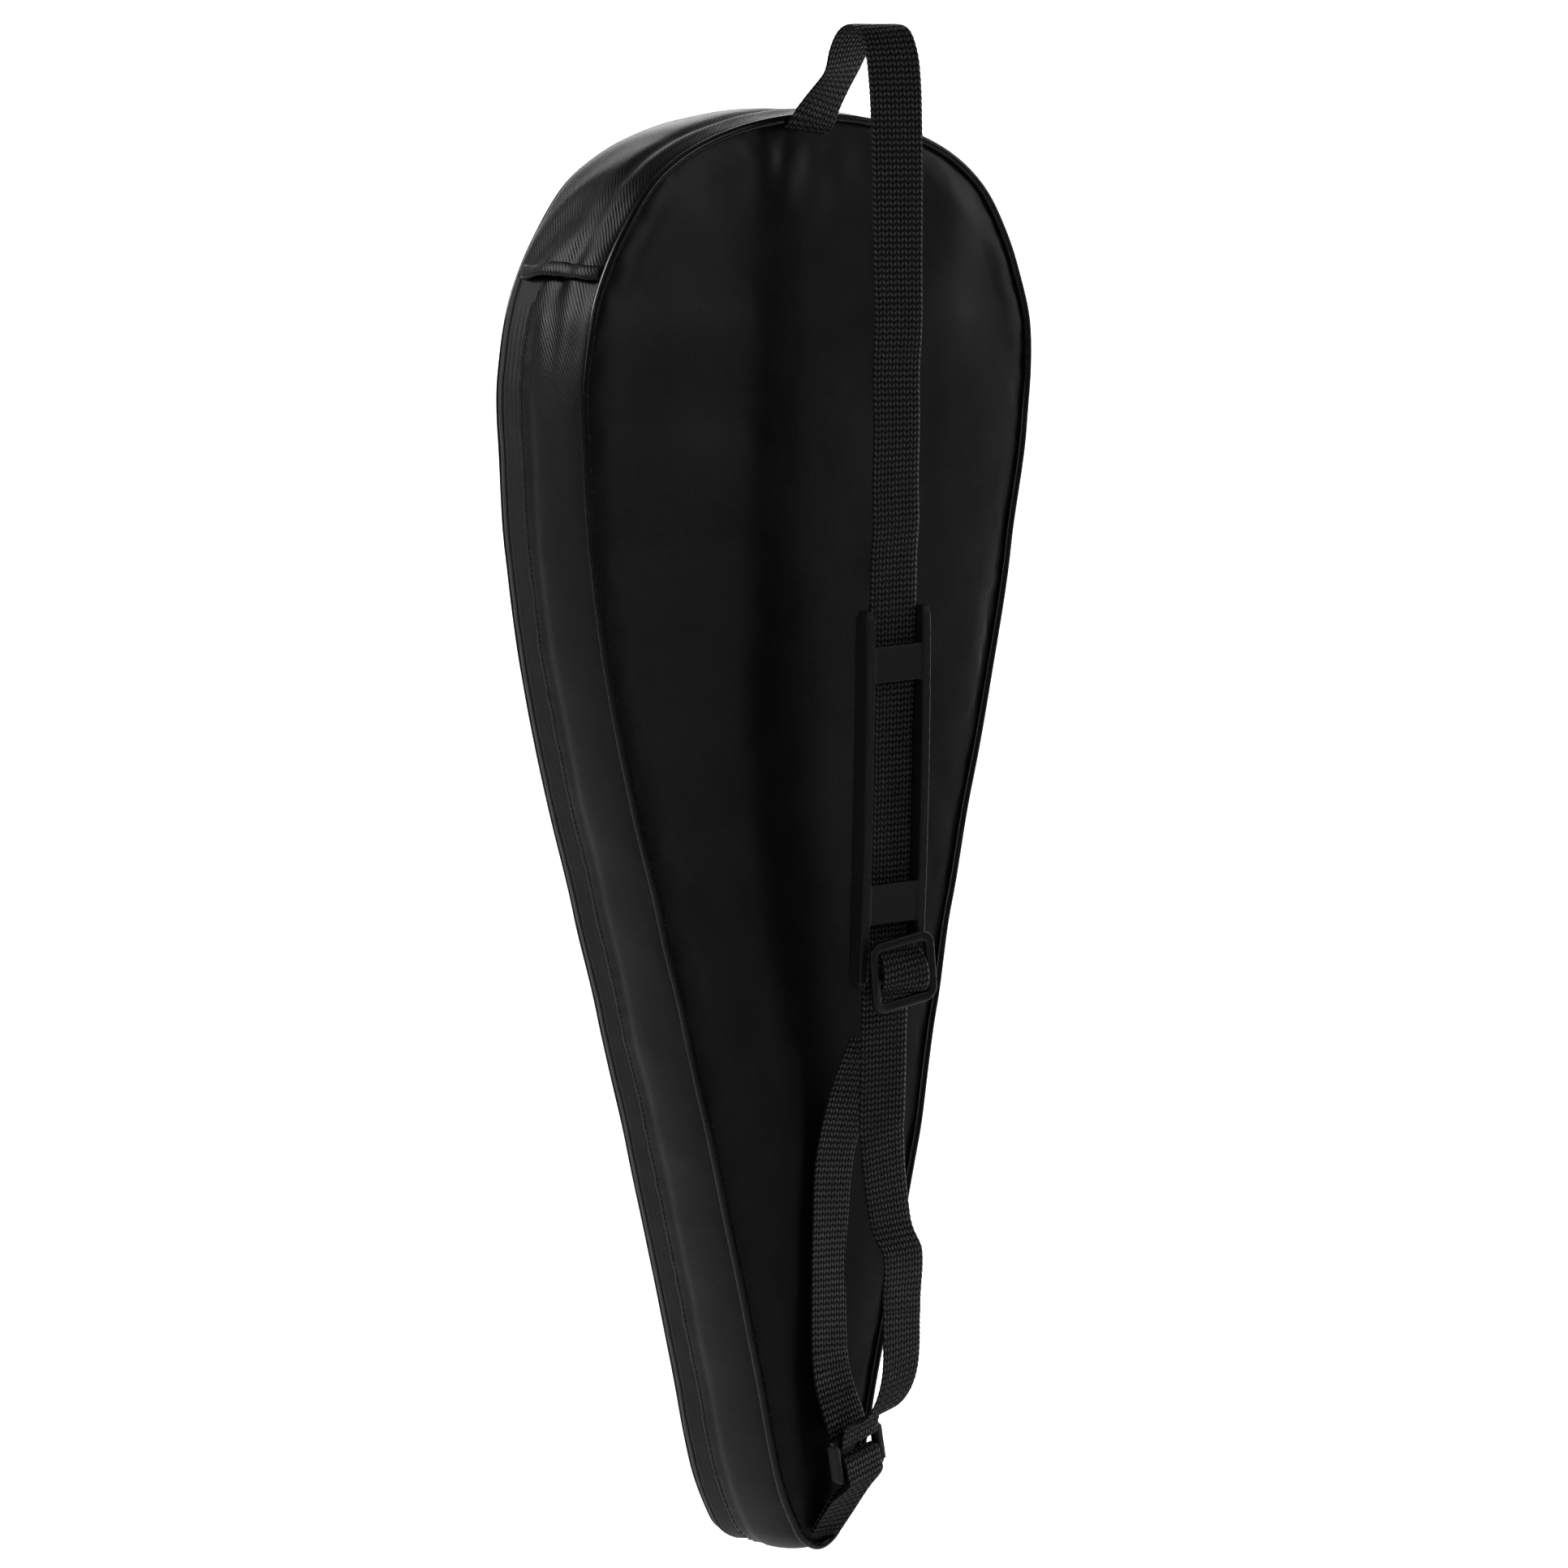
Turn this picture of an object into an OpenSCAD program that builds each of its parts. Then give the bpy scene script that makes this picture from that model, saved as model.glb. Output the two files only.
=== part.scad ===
// Full-length padded cover for a strung racket.
// A teardrop rear panel and a matching front panel are joined by a side band.
// A zip runs from the upper left of the band, down round the narrow tip and up the lower right edge.
// A webbing carrying strap runs from the top of the rear panel over a hanging arch, down through
// a moulded shoulder piece and a three-bar adjuster, round a rectangular ring and back.

/* [Case] */
// Height of the case along its centre line
case_h = 715; // [690:5:740]
// Full width of the case at its widest
case_w = 286; // [270:2:300]
// Depth of the side band from panel to panel
case_d = 70; // [66:1:76]
// Thickness of the outer fabric
skin_t = 1.2; // [1:0.1:1.4]
// Thickness of the foam behind the panels
foam_t = 5; // [3:0.5:6]
// Thickness of the lining
lining_t = 0.8; // [0.5:0.1:1]
// Thickness of the foam behind the side band
band_foam_t = 3; // [2:0.5:3.5]
// How far the piping stands out of the seam
piping_w = 3.2; // [2.5:0.1:4]

/* [Zip] */
// Distance of the zip's centre line from the front panel's outer face
zip_in = 8.5; // [8:0.5:10]
// Width of one half of the zip's tape, seen
tape_w = 10; // [9:0.5:11]
// Gap between the two rows of the zip's coil, which the slider's wedge runs in
coil_gap = 2; // [1.9:0.1:2.4]
// Length of the zip's pull
pull_l = 24; // [18:1:30]

/* [Strap] */
// Width of the strap's webbing
web_w = 30; // [28:0.5:30]
// Thickness of the strap's webbing
web_t = 1.5; // [1.2:0.1:1.6]
// Length of the shoulder piece
pad_l = 190; // [170:5:190]
// Width of the shoulder piece over its two rails
pad_w = 42; // [41:0.5:46]
// Width of the three-bar adjuster
adj_w = 42; // [40:0.5:44]
// Height of the three-bar adjuster
adj_h = 40; // [36:1:42]

/* [Hidden] */
$fn = 32;

kh = case_h/715;
kw = case_w/286;
yr = -case_d/2;               // outer face of the rear panel
yf = case_d/2;                // outer face of the front panel
zy = yf - zip_in;             // centre plane of the zip
hang_y = -77.5 + (yr + 35);   // strap arch crown, front to back
hang_z = 760.5*kh;            // underside of the strap arch

// Outline of the case from the tip to the top: height, half width
stations = [[0,0],[4,8.8],[12,14.5],[30,23],[55,30],[78,35],[110,42.8],[145,51.4],[180,60],[213,68],[267,80.5],[318,93],
  [369,106.5],[409,117],[470,130],[531,139],[572,143],[593,143],[615,140.5],[635,134],[655,124.5],[679,108],
  [695,87],[706,60],[712.5,32],[715,0]];
ns = len(stations);
sub = 3;

function st(i) = i < 0 ? [stations[-i][0]*kh, -stations[-i][1]*kw]
  : i > ns-1 ? [stations[2*(ns-1)-i][0]*kh, -stations[2*(ns-1)-i][1]*kw]
  : [stations[i][0]*kh, stations[i][1]*kw];
function cr(a, b, c, d, t) = 0.5*((2*b) + (c-a)*t + (2*a-5*b+4*c-d)*t*t + (3*b-a-3*c+d)*t*t*t);
function half_pt(k) = let(i = floor(k/sub), t = (k - i*sub)/sub) i >= ns-1 ? st(ns-1) : cr(st(i-1), st(i), st(i+1), st(i+2), t);
nh = (ns-1)*sub;
// The closed outline as [x, z], up the right side and down the left
outline = concat([for (k = [0:nh]) let(p = half_pt(k)) [p[1], p[0]]],
                 [for (k = [nh-1:-1:1]) let(p = half_pt(k)) [-p[1], p[0]]]);
no = len(outline);
function unit(v) = v/norm(v);
function nrm(i) = let(a = outline[(i+no-1)%no], b = outline[(i+1)%no], t = unit(b-a)) [t[1], -t[0]];
normals = [for (i = [0:no-1]) nrm(i)];
// The outline moved in by d, or out where d is negative
function inset(d) = [for (i = [0:no-1]) outline[i] - normals[i]*d];

// The hinge line of the opening flap, from the zip's top on the left to its lower right end
ha = [-137*kw, 637*kh];
hb = [40*kw, 95*kh];
hu = unit(hb - ha);
hn = [hu[1], -hu[0]];         // points to the flap's side
zip_end_z = 184*kh;

// A half plane beyond the hinge line: side 1 is the flap's side
module flap_side(g = 0.25, side = 1) {
  o = side > 0 ? hn*g : -hn*g;
  q = side > 0 ? hn*900 : -hn*900;
  polygon([ha - hu*400 + o, hb + hu*400 + o, hb + hu*400 + o + q, ha - hu*400 + o + q]);
}
module zip_side(g = 0) {
  flap_side(g);
  translate([0, -200]) square([300, 200 + zip_end_z - g]);
}
// Places a drawing in the upright plane: x stays, y becomes height, thickness runs from y0 to y1
module slab(y0, y1) { translate([0, y1, 0]) rotate([90, 0, 0]) linear_extrude(height = y1 - y0) children(); }
module plate2(d) { polygon(inset(d)); }
module ring2(d0, d1) { difference() { polygon(inset(d0)); polygon(inset(d1)); } }
module in_frame() { translate([0, -hang_y, -hang_z]) children(); }

plate_in = 6.2;               // inset of foam and lining plates, clear of the side band

module rear_panel() { color([0.10,0.10,0.11]) in_frame() slab(yr, yr+skin_t) plate2(0); }
module rear_foam() { color([0.45,0.45,0.47]) in_frame() slab(yr+skin_t, yr+skin_t+foam_t) plate2(plate_in); }
module rear_lining() { color([0.18,0.18,0.19]) in_frame() slab(yr+skin_t+foam_t, yr+skin_t+foam_t+lining_t) plate2(plate_in); }

module front_plate(y0, y1, d, side) {
  slab(y0, y1) intersection() { plate2(d); flap_side(0.25, side); }
}
module front_panel() { color([0.10,0.10,0.11]) in_frame() front_plate(yf-skin_t, yf, 0, -1); }
module front_flap() { color([0.11,0.11,0.12]) in_frame() front_plate(yf-skin_t, yf, 0, 1); }
module front_foam() { color([0.45,0.45,0.47]) in_frame() front_plate(yf-skin_t-foam_t, yf-skin_t, plate_in, -1); }
module front_flap_foam() { color([0.48,0.48,0.50]) in_frame() front_plate(yf-skin_t-foam_t, yf-skin_t, plate_in, 1); }
module front_lining() { color([0.18,0.18,0.19]) in_frame() front_plate(yf-skin_t-foam_t-lining_t, yf-skin_t-foam_t, plate_in, -1); }
module front_flap_lining() { color([0.20,0.20,0.21]) in_frame() front_plate(yf-skin_t-foam_t-lining_t, yf-skin_t-foam_t, plate_in, 1); }

hem_y = zy - coil_gap/2 - 1.2 - tape_w;   // edge of the wide band beside the zip's tape
module zip_band() {
  color([0.12,0.12,0.13]) in_frame()
  slab(yr+skin_t, hem_y) intersection() { ring2(0, 1.5); zip_side(0); }
}
module zip_band_foam() {
  color([0.45,0.45,0.47]) in_frame()
  slab(yr+skin_t+2, hem_y-7) intersection() { ring2(1.5, 1.5+band_foam_t); zip_side(0); }
}
module top_band() {
  color([0.12,0.12,0.13]) in_frame()
  slab(yr+skin_t, yf-skin_t) difference() { ring2(0, 1.5); zip_side(-0.3); }
}
module top_band_foam() {
  color([0.45,0.45,0.47]) in_frame()
  slab(yr+skin_t+2, yf-skin_t-2) difference() { ring2(1.5, 1.5+band_foam_t); zip_side(-0.3); }
}
module rear_piping() { color([0.08,0.08,0.08]) in_frame() slab(yr-1.6, yr+skin_t) ring2(-piping_w, 0); }
module front_piping() {
  color([0.08,0.08,0.08]) in_frame() slab(yf-skin_t, yf+1.6) intersection() { ring2(-piping_w, 0); flap_side(0.25, -1); }
}
module front_flap_piping() {
  color([0.08,0.08,0.08]) in_frame() slab(yf-skin_t, yf+1.6) intersection() { ring2(-piping_w, 0); flap_side(0.25, 1); }
}
module rear_seam_binding() { color([0.05,0.05,0.05]) in_frame() slab(yr+skin_t, yr+skin_t+1.8) ring2(1.5, 4.5); }
module front_seam_binding() {
  color([0.05,0.05,0.05]) in_frame() slab(yf-skin_t-1.8, yf-skin_t) intersection() { ring2(2.5, 4.5); flap_side(0.25, -1); }
}
module front_flap_binding() {
  color([0.05,0.05,0.05]) in_frame() slab(yf-skin_t-1.8, yf-skin_t) intersection() { ring2(2.5, 4.5); flap_side(0.25, 1); }
}

// Zip: tapes lie just inside the hems, the two coil rows face each other across a narrow gap
module zip_tape_rear() {
  color([0.15,0.15,0.16]) in_frame()
  slab(hem_y-6, zy-coil_gap/2-1.2) intersection() { ring2(1.5, 2.3); zip_side(0); }
}
module front_tape(side) {
  slab(zy+coil_gap/2+1.2, yf-skin_t) intersection() { ring2(1.5, 2.3); children(); flap_side(0.25, side); }
}
module zip_tape_front() { color([0.15,0.15,0.16]) in_frame() front_tape(1) square([2000, 2*zip_end_z + 2000], center = true); }
module zip_tape_front_end() { color([0.15,0.15,0.16]) in_frame() front_tape(-1) square([300, zip_end_z]); }
module zip_coil_rear() {
  color([0.06,0.06,0.06]) in_frame()
  slab(zy-coil_gap/2-1.2, zy-coil_gap/2) intersection() { ring2(0.9, 2.7); zip_side(0); }
}
module front_coil(side) {
  slab(zy+coil_gap/2, zy+coil_gap/2+1.2) intersection() { ring2(0.9, 2.7); children(); flap_side(0.25, side); }
}
module zip_coil_front() { color([0.06,0.06,0.06]) in_frame() front_coil(1) square([2000, 2*zip_end_z + 2000], center = true); }
module zip_coil_front_end() { color([0.06,0.06,0.06]) in_frame() front_coil(-1) square([300, zip_end_z]); }

// The zip's straight stretch low on the right side, where the slider is parked
sl_a = [35*kw, 78*kh];
sl_b = [60*kw, 180*kh];
sl_u = unit(sl_b - sl_a);
sl_n = [sl_u[1], -sl_u[0]];
sl_ang = atan2(sl_u[0], sl_u[1]);
sl_p = sl_b - sl_u*10;
// Local frame on the zip: x outward, y across the tape, z along the tape upward
module on_zip(s = 0) {
  translate([sl_p[0] + sl_u[0]*s, zy, sl_p[1] + sl_u[1]*s]) rotate([0, sl_ang, 0]) children();
}
module zip_end_stops() {
  color([0.55,0.55,0.56]) in_frame() {
    on_zip(8.5) translate([-2.7, -0.9, 0]) cube([1.8, 1.8, 3]);
    translate([-137.6*kw, zy-0.9, 619*kh]) cube([1.6, 1.8, 3]);
  }
}
bail_x = 3.4;
module zip_slider() {
  color([0.30,0.30,0.31]) in_frame() on_zip(0) {
    difference() {
      union() {
        translate([-0.45, -4.6, -5.5]) cube([1.5, 9.2, 11]);
        translate([-4.6, -4.6, -5.5]) cube([1.5, 9.2, 11]);
        translate([-3.2, -coil_gap/2+0.15, 2.2]) cube([3.0, coil_gap-0.3, 3.3]);
        translate([1.0, -3.6, -2]) cube([3.6, 1.3, 4]);
        translate([1.0, 2.3, -2]) cube([3.6, 1.3, 4]);
      }
      translate([bail_x, 0, 0]) rotate([90, 0, 0]) cylinder(r = 0.6, h = 12, center = true);
    }
    translate([bail_x, 0, 0]) rotate([90, 0, 0]) cylinder(r = 0.8, h = 6.8, center = true);
  }
}
// Pull, hanging straight down from the slider's cross pin
pull_x = sl_p[0] + sl_u[1]*bail_x;
pull_z = sl_p[1] - sl_u[0]*bail_x;
module zip_pull() {
  color([0.30,0.30,0.31]) in_frame() translate([pull_x, zy, pull_z]) difference() {
    union() {
      rotate([90, 0, 0]) cylinder(r = 1.9, h = 4.2, center = true);
      translate([-0.7, -2.1, -pull_l+3]) cube([1.4, 4.2, pull_l-3]);
      translate([0, 0, -pull_l+3]) rotate([0, 90, 0]) cylinder(r = 3.2, h = 1.4, center = true);
    }
    rotate([90, 0, 0]) cylinder(r = 0.86, h = 12, center = true);
    translate([0, 0, -pull_l+3]) rotate([0, 90, 0]) cylinder(r = 1.5, h = 4, center = true);
  }
}

// Raised welts where the two bands are joined
module band_seam_left() {
  color([0.12,0.12,0.13]) in_frame() slab(yr+skin_t, hem_y+tape_w-0.5) intersection() {
    ring2(-1.4, 0);
    translate(ha + hu*2) rotate(atan2(hu[1], hu[0])) square([7, 60], center = true);
  }
}
module band_seam_right() {
  color([0.12,0.12,0.13]) in_frame() slab(yr+skin_t, yf-skin_t) intersection() {
    ring2(-1.2, 0);
    translate([0, zip_end_z+3]) square([200, 8]);
  }
}

// Strap. The straight run is a line from run_top downward.
run_top = [0, -95 + (yr+35), 560*kh];
run_rx = 5.3;
run_ry = -3;
run_u = [cos(run_rx)*sin(run_ry), -sin(run_rx), cos(run_rx)*cos(run_ry)];
function run_pt(t) = concat(run_top + run_u*t, [0, 3]);
module on_run() { translate(run_top) rotate([run_rx, run_ry, 0]) children(); }

// Rectangular ring: local frame with x along its bars and z from the lower bar to the upper
ring_top = [10, -51 + (yr+35), 56];
ring_yaw = 12;
ring_roll = 13;
ring_h = 19;
ring_b = [cos(ring_roll)*cos(ring_yaw), cos(ring_roll)*sin(ring_yaw), sin(ring_roll)];
ring_e = [sin(ring_yaw), -cos(ring_yaw), 0];
ring_up = [-sin(ring_roll)*cos(ring_yaw), -sin(ring_roll)*sin(ring_yaw), cos(ring_roll)];
ring_low = ring_top - ring_up*ring_h;
module on_ring() { translate(ring_low) rotate([0, -ring_roll, ring_yaw]) children(); }
bar_r = 2.2;

function yo(p) = [p[0], p[1] + (yr+35), p[2], p[3], p[4]];
// Centre line of the webbing from the top seam to the adjuster's lower side: x, y, z, yaw, roll
arch = [for (p = [[0,-38.3,694,0,0],[0,-38.5,707,0,0],[0,-40.9,718,6,0],[0,-46.5,728,14,0],[0,-53,739,16,0],
  [0,-60,750.5,8,0],[0,-68.5,758.5,-2,0],[0,-77.5,761.25,-8,0],[0,-85.5,758,-10,0],[0,-90.8,748,-10,0],
  [0,-93.3,735,-10,0],[0,-94.8,715,-8,0],[0,-95.6,675,-6,0],[0,-95.8,625,-3,1]])
  let(q = yo(p)) [q[0], q[1], q[2]*kh, q[3], q[4]]];
strand_top = [for (p = [[19,-62,206,3,5],[22.5,-61,180,7,8],[25.5,-64,146,14,12],[27,-67.5,118,20,10]])
  yo(p)];
strand_low = [for (p = [[26.3,-68.3,98,21,9],[24.5,-67.3,86,20,9],[20.5,-64.6,76.5,17,11],[16,-61,70,14,12]])
  yo(p)];
function about(c, a, r) = concat(c + ring_e*(r*cos(a)) + ring_up*(r*sin(a)), [ring_yaw, ring_roll]);
lr = bar_r + 0.6 + web_t/2;
loop_round = [about(ring_top + ring_b*2.5 + ring_up*8.5, 0, lr+2.6), about(ring_top + ring_b*0.9 + ring_up*4, 0, lr+0.8),
  about(ring_top, 0, lr), about(ring_top, 325, lr), about(ring_top, 290, lr), about(ring_top, 250, lr), about(ring_top, 215, lr),
  about(ring_top, 180, lr), about(ring_top - ring_b*0.3 + ring_up*4, 180, lr), about(ring_top - ring_b*1 + ring_up*8.5, 180, lr)];
return_low = [for (p = [[3.8,-46.2,74,12,9],[1.2,-44.4,86,13,6],[0.3,-43.3,98,14,3]]) yo(p)];
return_top = [for (p = [[1,-42,125,15,0],[2,-41.6,160,14,0],[4.5,-42.5,195,10,2],[9,-49,228,5,3],[13.5,-60,256,1,3]])
  yo(p)];
front_all = concat(arch, [for (t = [0:-68:-340]) run_pt(t)], strand_top);
n_front = len(front_all);

function up5(p) = [p[0], p[1], p[2]];
// A smooth centre line through the points, n steps between each two
function smooth(c, n) = [for (i = [0:len(c)-2], k = [0:n-1]) let(
    a = i == 0 ? 2*c[0]-c[1] : c[i-1], d = i == len(c)-2 ? 2*c[len(c)-1]-c[len(c)-2] : c[i+2])
    cr(a, c[i], c[i+1], d, k/n)];
function path_of(c, n) = concat(smooth(c, n), [c[len(c)-1]]);
// A flat band of webbing along a centre line. half is the half width at each point
module band_sweep(q, half, t, pre, post, skew = false) {
  m = len(q);
  tan_ = [for (i = [0:m-1]) unit(i == 0 ? up5(pre) : i == m-1 ? up5(post) : up5(q[i+1]) - up5(q[i-1]))];
  w0 = [for (i = [0:m-1]) [cos(q[i][4])*cos(q[i][3]), cos(q[i][4])*sin(q[i][3]), sin(q[i][4])]];
  w = [for (i = [0:m-1]) unit(skew ? w0[i] : w0[i] - tan_[i]*(w0[i]*tan_[i]))];
  nn = [for (i = [0:m-1]) unit(cross(tan_[i], w[i]))];
  pts = [for (i = [0:m-1], k = [0:3]) up5(q[i]) + w[i]*half[i]*((k == 0 || k == 3) ? -1 : 1) + nn[i]*(t/2)*(k < 2 ? -1 : 1)];
  fc = concat([[0,1,2],[0,2,3]],
    [for (i = [0:m-2], k = [0:3]) let(a = i*4+k, b = i*4+(k+1)%4) [b, a, a+4]],
    [for (i = [0:m-2], k = [0:3]) let(a = i*4+k, b = i*4+(k+1)%4) [b, a+4, b+4]],
    [[(m-1)*4+2, (m-1)*4+1, (m-1)*4], [(m-1)*4+3, (m-1)*4+2, (m-1)*4]]);
  polyhedron(points = pts, faces = fc, convexity = 6);
}
module webbing(c, n, half = web_w/2, pre = undef, post = undef) {
  q = path_of(c, n);
  e = len(q);
  band_sweep(q, [for (i = [0:e-1]) half], web_t, is_undef(pre) ? q[1]-q[0] : pre, is_undef(post) ? q[e-1]-q[e-2] : post);
}
// The loop shares its first and last points with its neighbours
loop_all = concat([strand_top[3]], strand_low, loop_round, return_low);
back_all = concat([return_low[2]], return_top);
j1 = strand_low[0] - front_all[n_front-2];
j2 = return_top[0] - return_low[1];

module strap_anchor_tack() {
  color([0.07,0.07,0.07]) in_frame() translate([-13, yr-2.2, 694*kh+1]) cube([26, 2.2, 9]);
}
module strap_webbing() {
  color([0.09,0.09,0.09]) in_frame() webbing(front_all, 2, web_w/2, undef, j1);
}
module strap_lower_loop() {
  color([0.09,0.09,0.09]) in_frame() webbing(loop_all, 2, web_w/2, j1, j2);
}
module strap_return_run() {
  color([0.09,0.09,0.09]) in_frame() webbing(back_all, 3, web_w/2, j2, undef);
}

// Shoulder piece, in the run's frame: two rails, a plate behind the webbing and two bars in front
pad_top = -88;
rail = 5.2;
slot = (web_w + 1.2)/2;
module shoulder_pad() {
  color([0.13,0.13,0.13]) in_frame() on_run() {
    for (s = [-1, 1]) {
      translate([s > 0 ? slot : -slot-rail, -5, pad_top-pad_l+4]) cube([rail, 9, pad_l-8]);
      for (z = [pad_top-4, pad_top-pad_l+4]) translate([s*(slot+rail/2), 4, z]) rotate([90, 0, 0]) {
        intersection() { scale([1, 1, 1]) cylinder(r = rail/2, h = 9); translate([0, 0, 4.5]) cube([rail, 8, 9], center = true); }
      }
    }
    translate([-slot-0.1, 1.4, pad_top-pad_l+32]) cube([2*slot+0.2, 2.6, pad_l-50]);
    translate([-slot-0.1, -4.6, pad_top-36]) cube([2*slot+0.2, 3.2, 18]);
    translate([-slot-0.1, -4.6, pad_top-pad_l+32]) cube([2*slot+0.2, 3.2, 20]);
  }
}
// Three-bar adjuster in front of the running strap
adj_z = -252;
adj_y = -10.2;
module adjuster_frame(w, h, t) {
  difference() {
    union() {
      translate([-w/2+4, 0, -h]) cube([w-8, t, h]);
      translate([-w/2, 0, -h+4]) cube([w, t, h-8]);
      for (x = [-w/2+4, w/2-4], z = [-4, -h+4]) translate([x, t, z]) rotate([90, 0, 0]) cylinder(r = 4, h = t);
    }
    translate([-web_w/2-0.7, -1, -h+6.5]) cube([web_w+1.4, t+2, h-13]);
  }
}
module strap_adjuster() {
  color([0.06,0.06,0.06]) in_frame() on_run() translate([3, adj_y, adj_z]) {
    adjuster_frame(adj_w, adj_h, 3.2);
    translate([-web_w/2-1.5, 1.6, -adj_h/2]) rotate([0, 90, 0]) cylinder(r = 1.5, h = web_w+3);
  }
}
module adjuster_webbing_end() {
  color([0.09,0.09,0.09]) in_frame() on_run() translate([3, adj_y+1.6, adj_z-adj_h/2]) difference() {
    union() {
      translate([-web_w/2+0.3, 0, 0]) rotate([0, 90, 0]) cylinder(r = 3.1, h = web_w-0.6);
      translate([-web_w/2+0.3, 0, -3.1]) cube([web_w-3.3, 7.2, 6.2]);
    }
    translate([-web_w/2-1, 0, 0]) rotate([0, 90, 0]) cylinder(r = 1.5, h = web_w+2);
  }
}
// Rectangular ring: two round bars and two flat arms
module bottom_ring() {
  color([0.06,0.06,0.06]) in_frame() on_ring() {
    for (z = [0, ring_h]) translate([-web_w/2-1.5, 0, z]) rotate([0, 90, 0]) cylinder(r = bar_r, h = web_w+3);
    for (s = [-1, 1]) translate([s > 0 ? web_w/2+1 : -web_w/2-4.6, -2.6, 0]) cube([3.6, 5.2, ring_h]);
    for (s = [-1, 1], z = [0, ring_h]) translate([s > 0 ? web_w/2+1 : -web_w/2-4.6, 0, z]) rotate([0, 90, 0]) cylinder(r = 2.6, h = 3.6);
  }
}
// Tab from the tip: up in front of the lower bar, over above it and back down behind
tr = bar_r + 0.35 + web_t/2;
tab_rise = 7.5;
tab_pts = concat([for (p = [[0.5,-39.6,5,0,0],[4.4,-43.9,14.5,4,4],[9.3,-49.2,25.5,9,9]]) yo(p)],
  [for (d = [-4, 2]) about(ring_low + ring_up*d, 0, tr)],
  [for (a = [0, 45, 90, 135, 180]) about(ring_low + ring_up*tab_rise, a, tr)],
  [for (d = [2, -4]) about(ring_low + ring_up*d, 180, tr)],
  [for (p = [[9.6,-45,25.5,9,9],[5,-41.2,14.8,4,4],[1,-37.8,6.5,1,0]]) yo(p)]);
module ring_tab() {
  q = path_of(tab_pts, 3);
  e = len(q);
  color([0.09,0.09,0.09]) in_frame()
    band_sweep(q, [for (i = [0:e-1]) let(z = q[i][2]) z > 26 ? web_w/2-1 : web_w/2-1-7*(26-z)/22], web_t-0.1, q[1]-q[0], q[e-1]-q[e-2], true);
}
module ring_tab_tack() {
  color([0.07,0.07,0.07]) in_frame() translate([-6, yr-1.2, 4.6]) cube([12, 1.2, 4]);
}

rear_panel();
rear_foam();
rear_lining();
front_panel();
front_foam();
front_lining();
front_flap();
front_flap_foam();
front_flap_lining();
zip_band();
zip_band_foam();
top_band();
top_band_foam();
rear_piping();
front_piping();
front_flap_piping();
rear_seam_binding();
front_seam_binding();
front_flap_binding();
zip_tape_rear();
zip_tape_front();
zip_tape_front_end();
zip_coil_rear();
zip_coil_front();
zip_coil_front_end();
zip_end_stops();
zip_slider();
zip_pull();
band_seam_left();
band_seam_right();
strap_anchor_tack();
strap_webbing();
strap_lower_loop();
strap_return_run();
strap_adjuster();
adjuster_webbing_end();
shoulder_pad();
bottom_ring();
ring_tab();
ring_tab_tack();
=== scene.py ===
import bpy, bmesh, math, random
from mathutils import Vector, Matrix, noise


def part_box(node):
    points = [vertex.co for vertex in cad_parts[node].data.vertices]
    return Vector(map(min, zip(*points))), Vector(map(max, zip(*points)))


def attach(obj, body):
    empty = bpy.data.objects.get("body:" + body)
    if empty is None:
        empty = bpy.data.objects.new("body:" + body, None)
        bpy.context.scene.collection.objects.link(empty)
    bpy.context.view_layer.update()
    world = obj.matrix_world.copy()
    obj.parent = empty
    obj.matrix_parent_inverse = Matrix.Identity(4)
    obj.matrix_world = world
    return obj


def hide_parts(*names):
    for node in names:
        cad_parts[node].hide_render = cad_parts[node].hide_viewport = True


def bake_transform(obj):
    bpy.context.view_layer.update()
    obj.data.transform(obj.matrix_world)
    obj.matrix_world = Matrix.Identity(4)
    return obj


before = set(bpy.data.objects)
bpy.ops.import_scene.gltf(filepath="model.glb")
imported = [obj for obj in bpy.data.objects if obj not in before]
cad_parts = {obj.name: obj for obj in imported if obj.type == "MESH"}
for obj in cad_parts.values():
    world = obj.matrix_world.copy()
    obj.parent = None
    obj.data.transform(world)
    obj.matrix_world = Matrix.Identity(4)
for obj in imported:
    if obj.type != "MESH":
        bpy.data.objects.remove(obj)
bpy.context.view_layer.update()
RNG = random.Random(7)

# ------------------------------------------------------------------ the case's own measures, mm from the tip
_lo, _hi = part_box("rear_panel")
X0 = (_lo[0] + _hi[0]) / 2
Y0 = _lo[1] + 0.035
Z0 = _lo[2]


def C(x, y, z):
    """Case millimetres (x across, y front to back, z above the tip) to the frame's metres."""
    return Vector((X0 + x / 1000, Y0 + y / 1000, Z0 + z / 1000))


ST = [(0, 0), (4, 8.8), (12, 14.5), (30, 23), (55, 30), (78, 35), (110, 42.8), (145, 51.4), (180, 60), (213, 68), (267, 80.5),
      (318, 93), (369, 106.5), (409, 117), (470, 130), (531, 139), (572, 143), (593, 143), (615, 140.5), (635, 134),
      (655, 124.5), (679, 108), (695, 87), (706, 60), (712.5, 32), (715, 0)]


def cr(a, b, c, d, t):
    return [0.5 * (2 * b[i] + (c[i] - a[i]) * t + (2 * a[i] - 5 * b[i] + 4 * c[i] - d[i]) * t * t + (3 * b[i] - a[i] - 3 * c[i] + d[i]) * t ** 3) for i in range(len(b))]


def st(i):
    n = len(ST)
    if i < 0: return (ST[-i][0], -ST[-i][1])
    if i > n - 1: return (ST[2 * (n - 1) - i][0], -ST[2 * (n - 1) - i][1])
    return ST[i]


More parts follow.
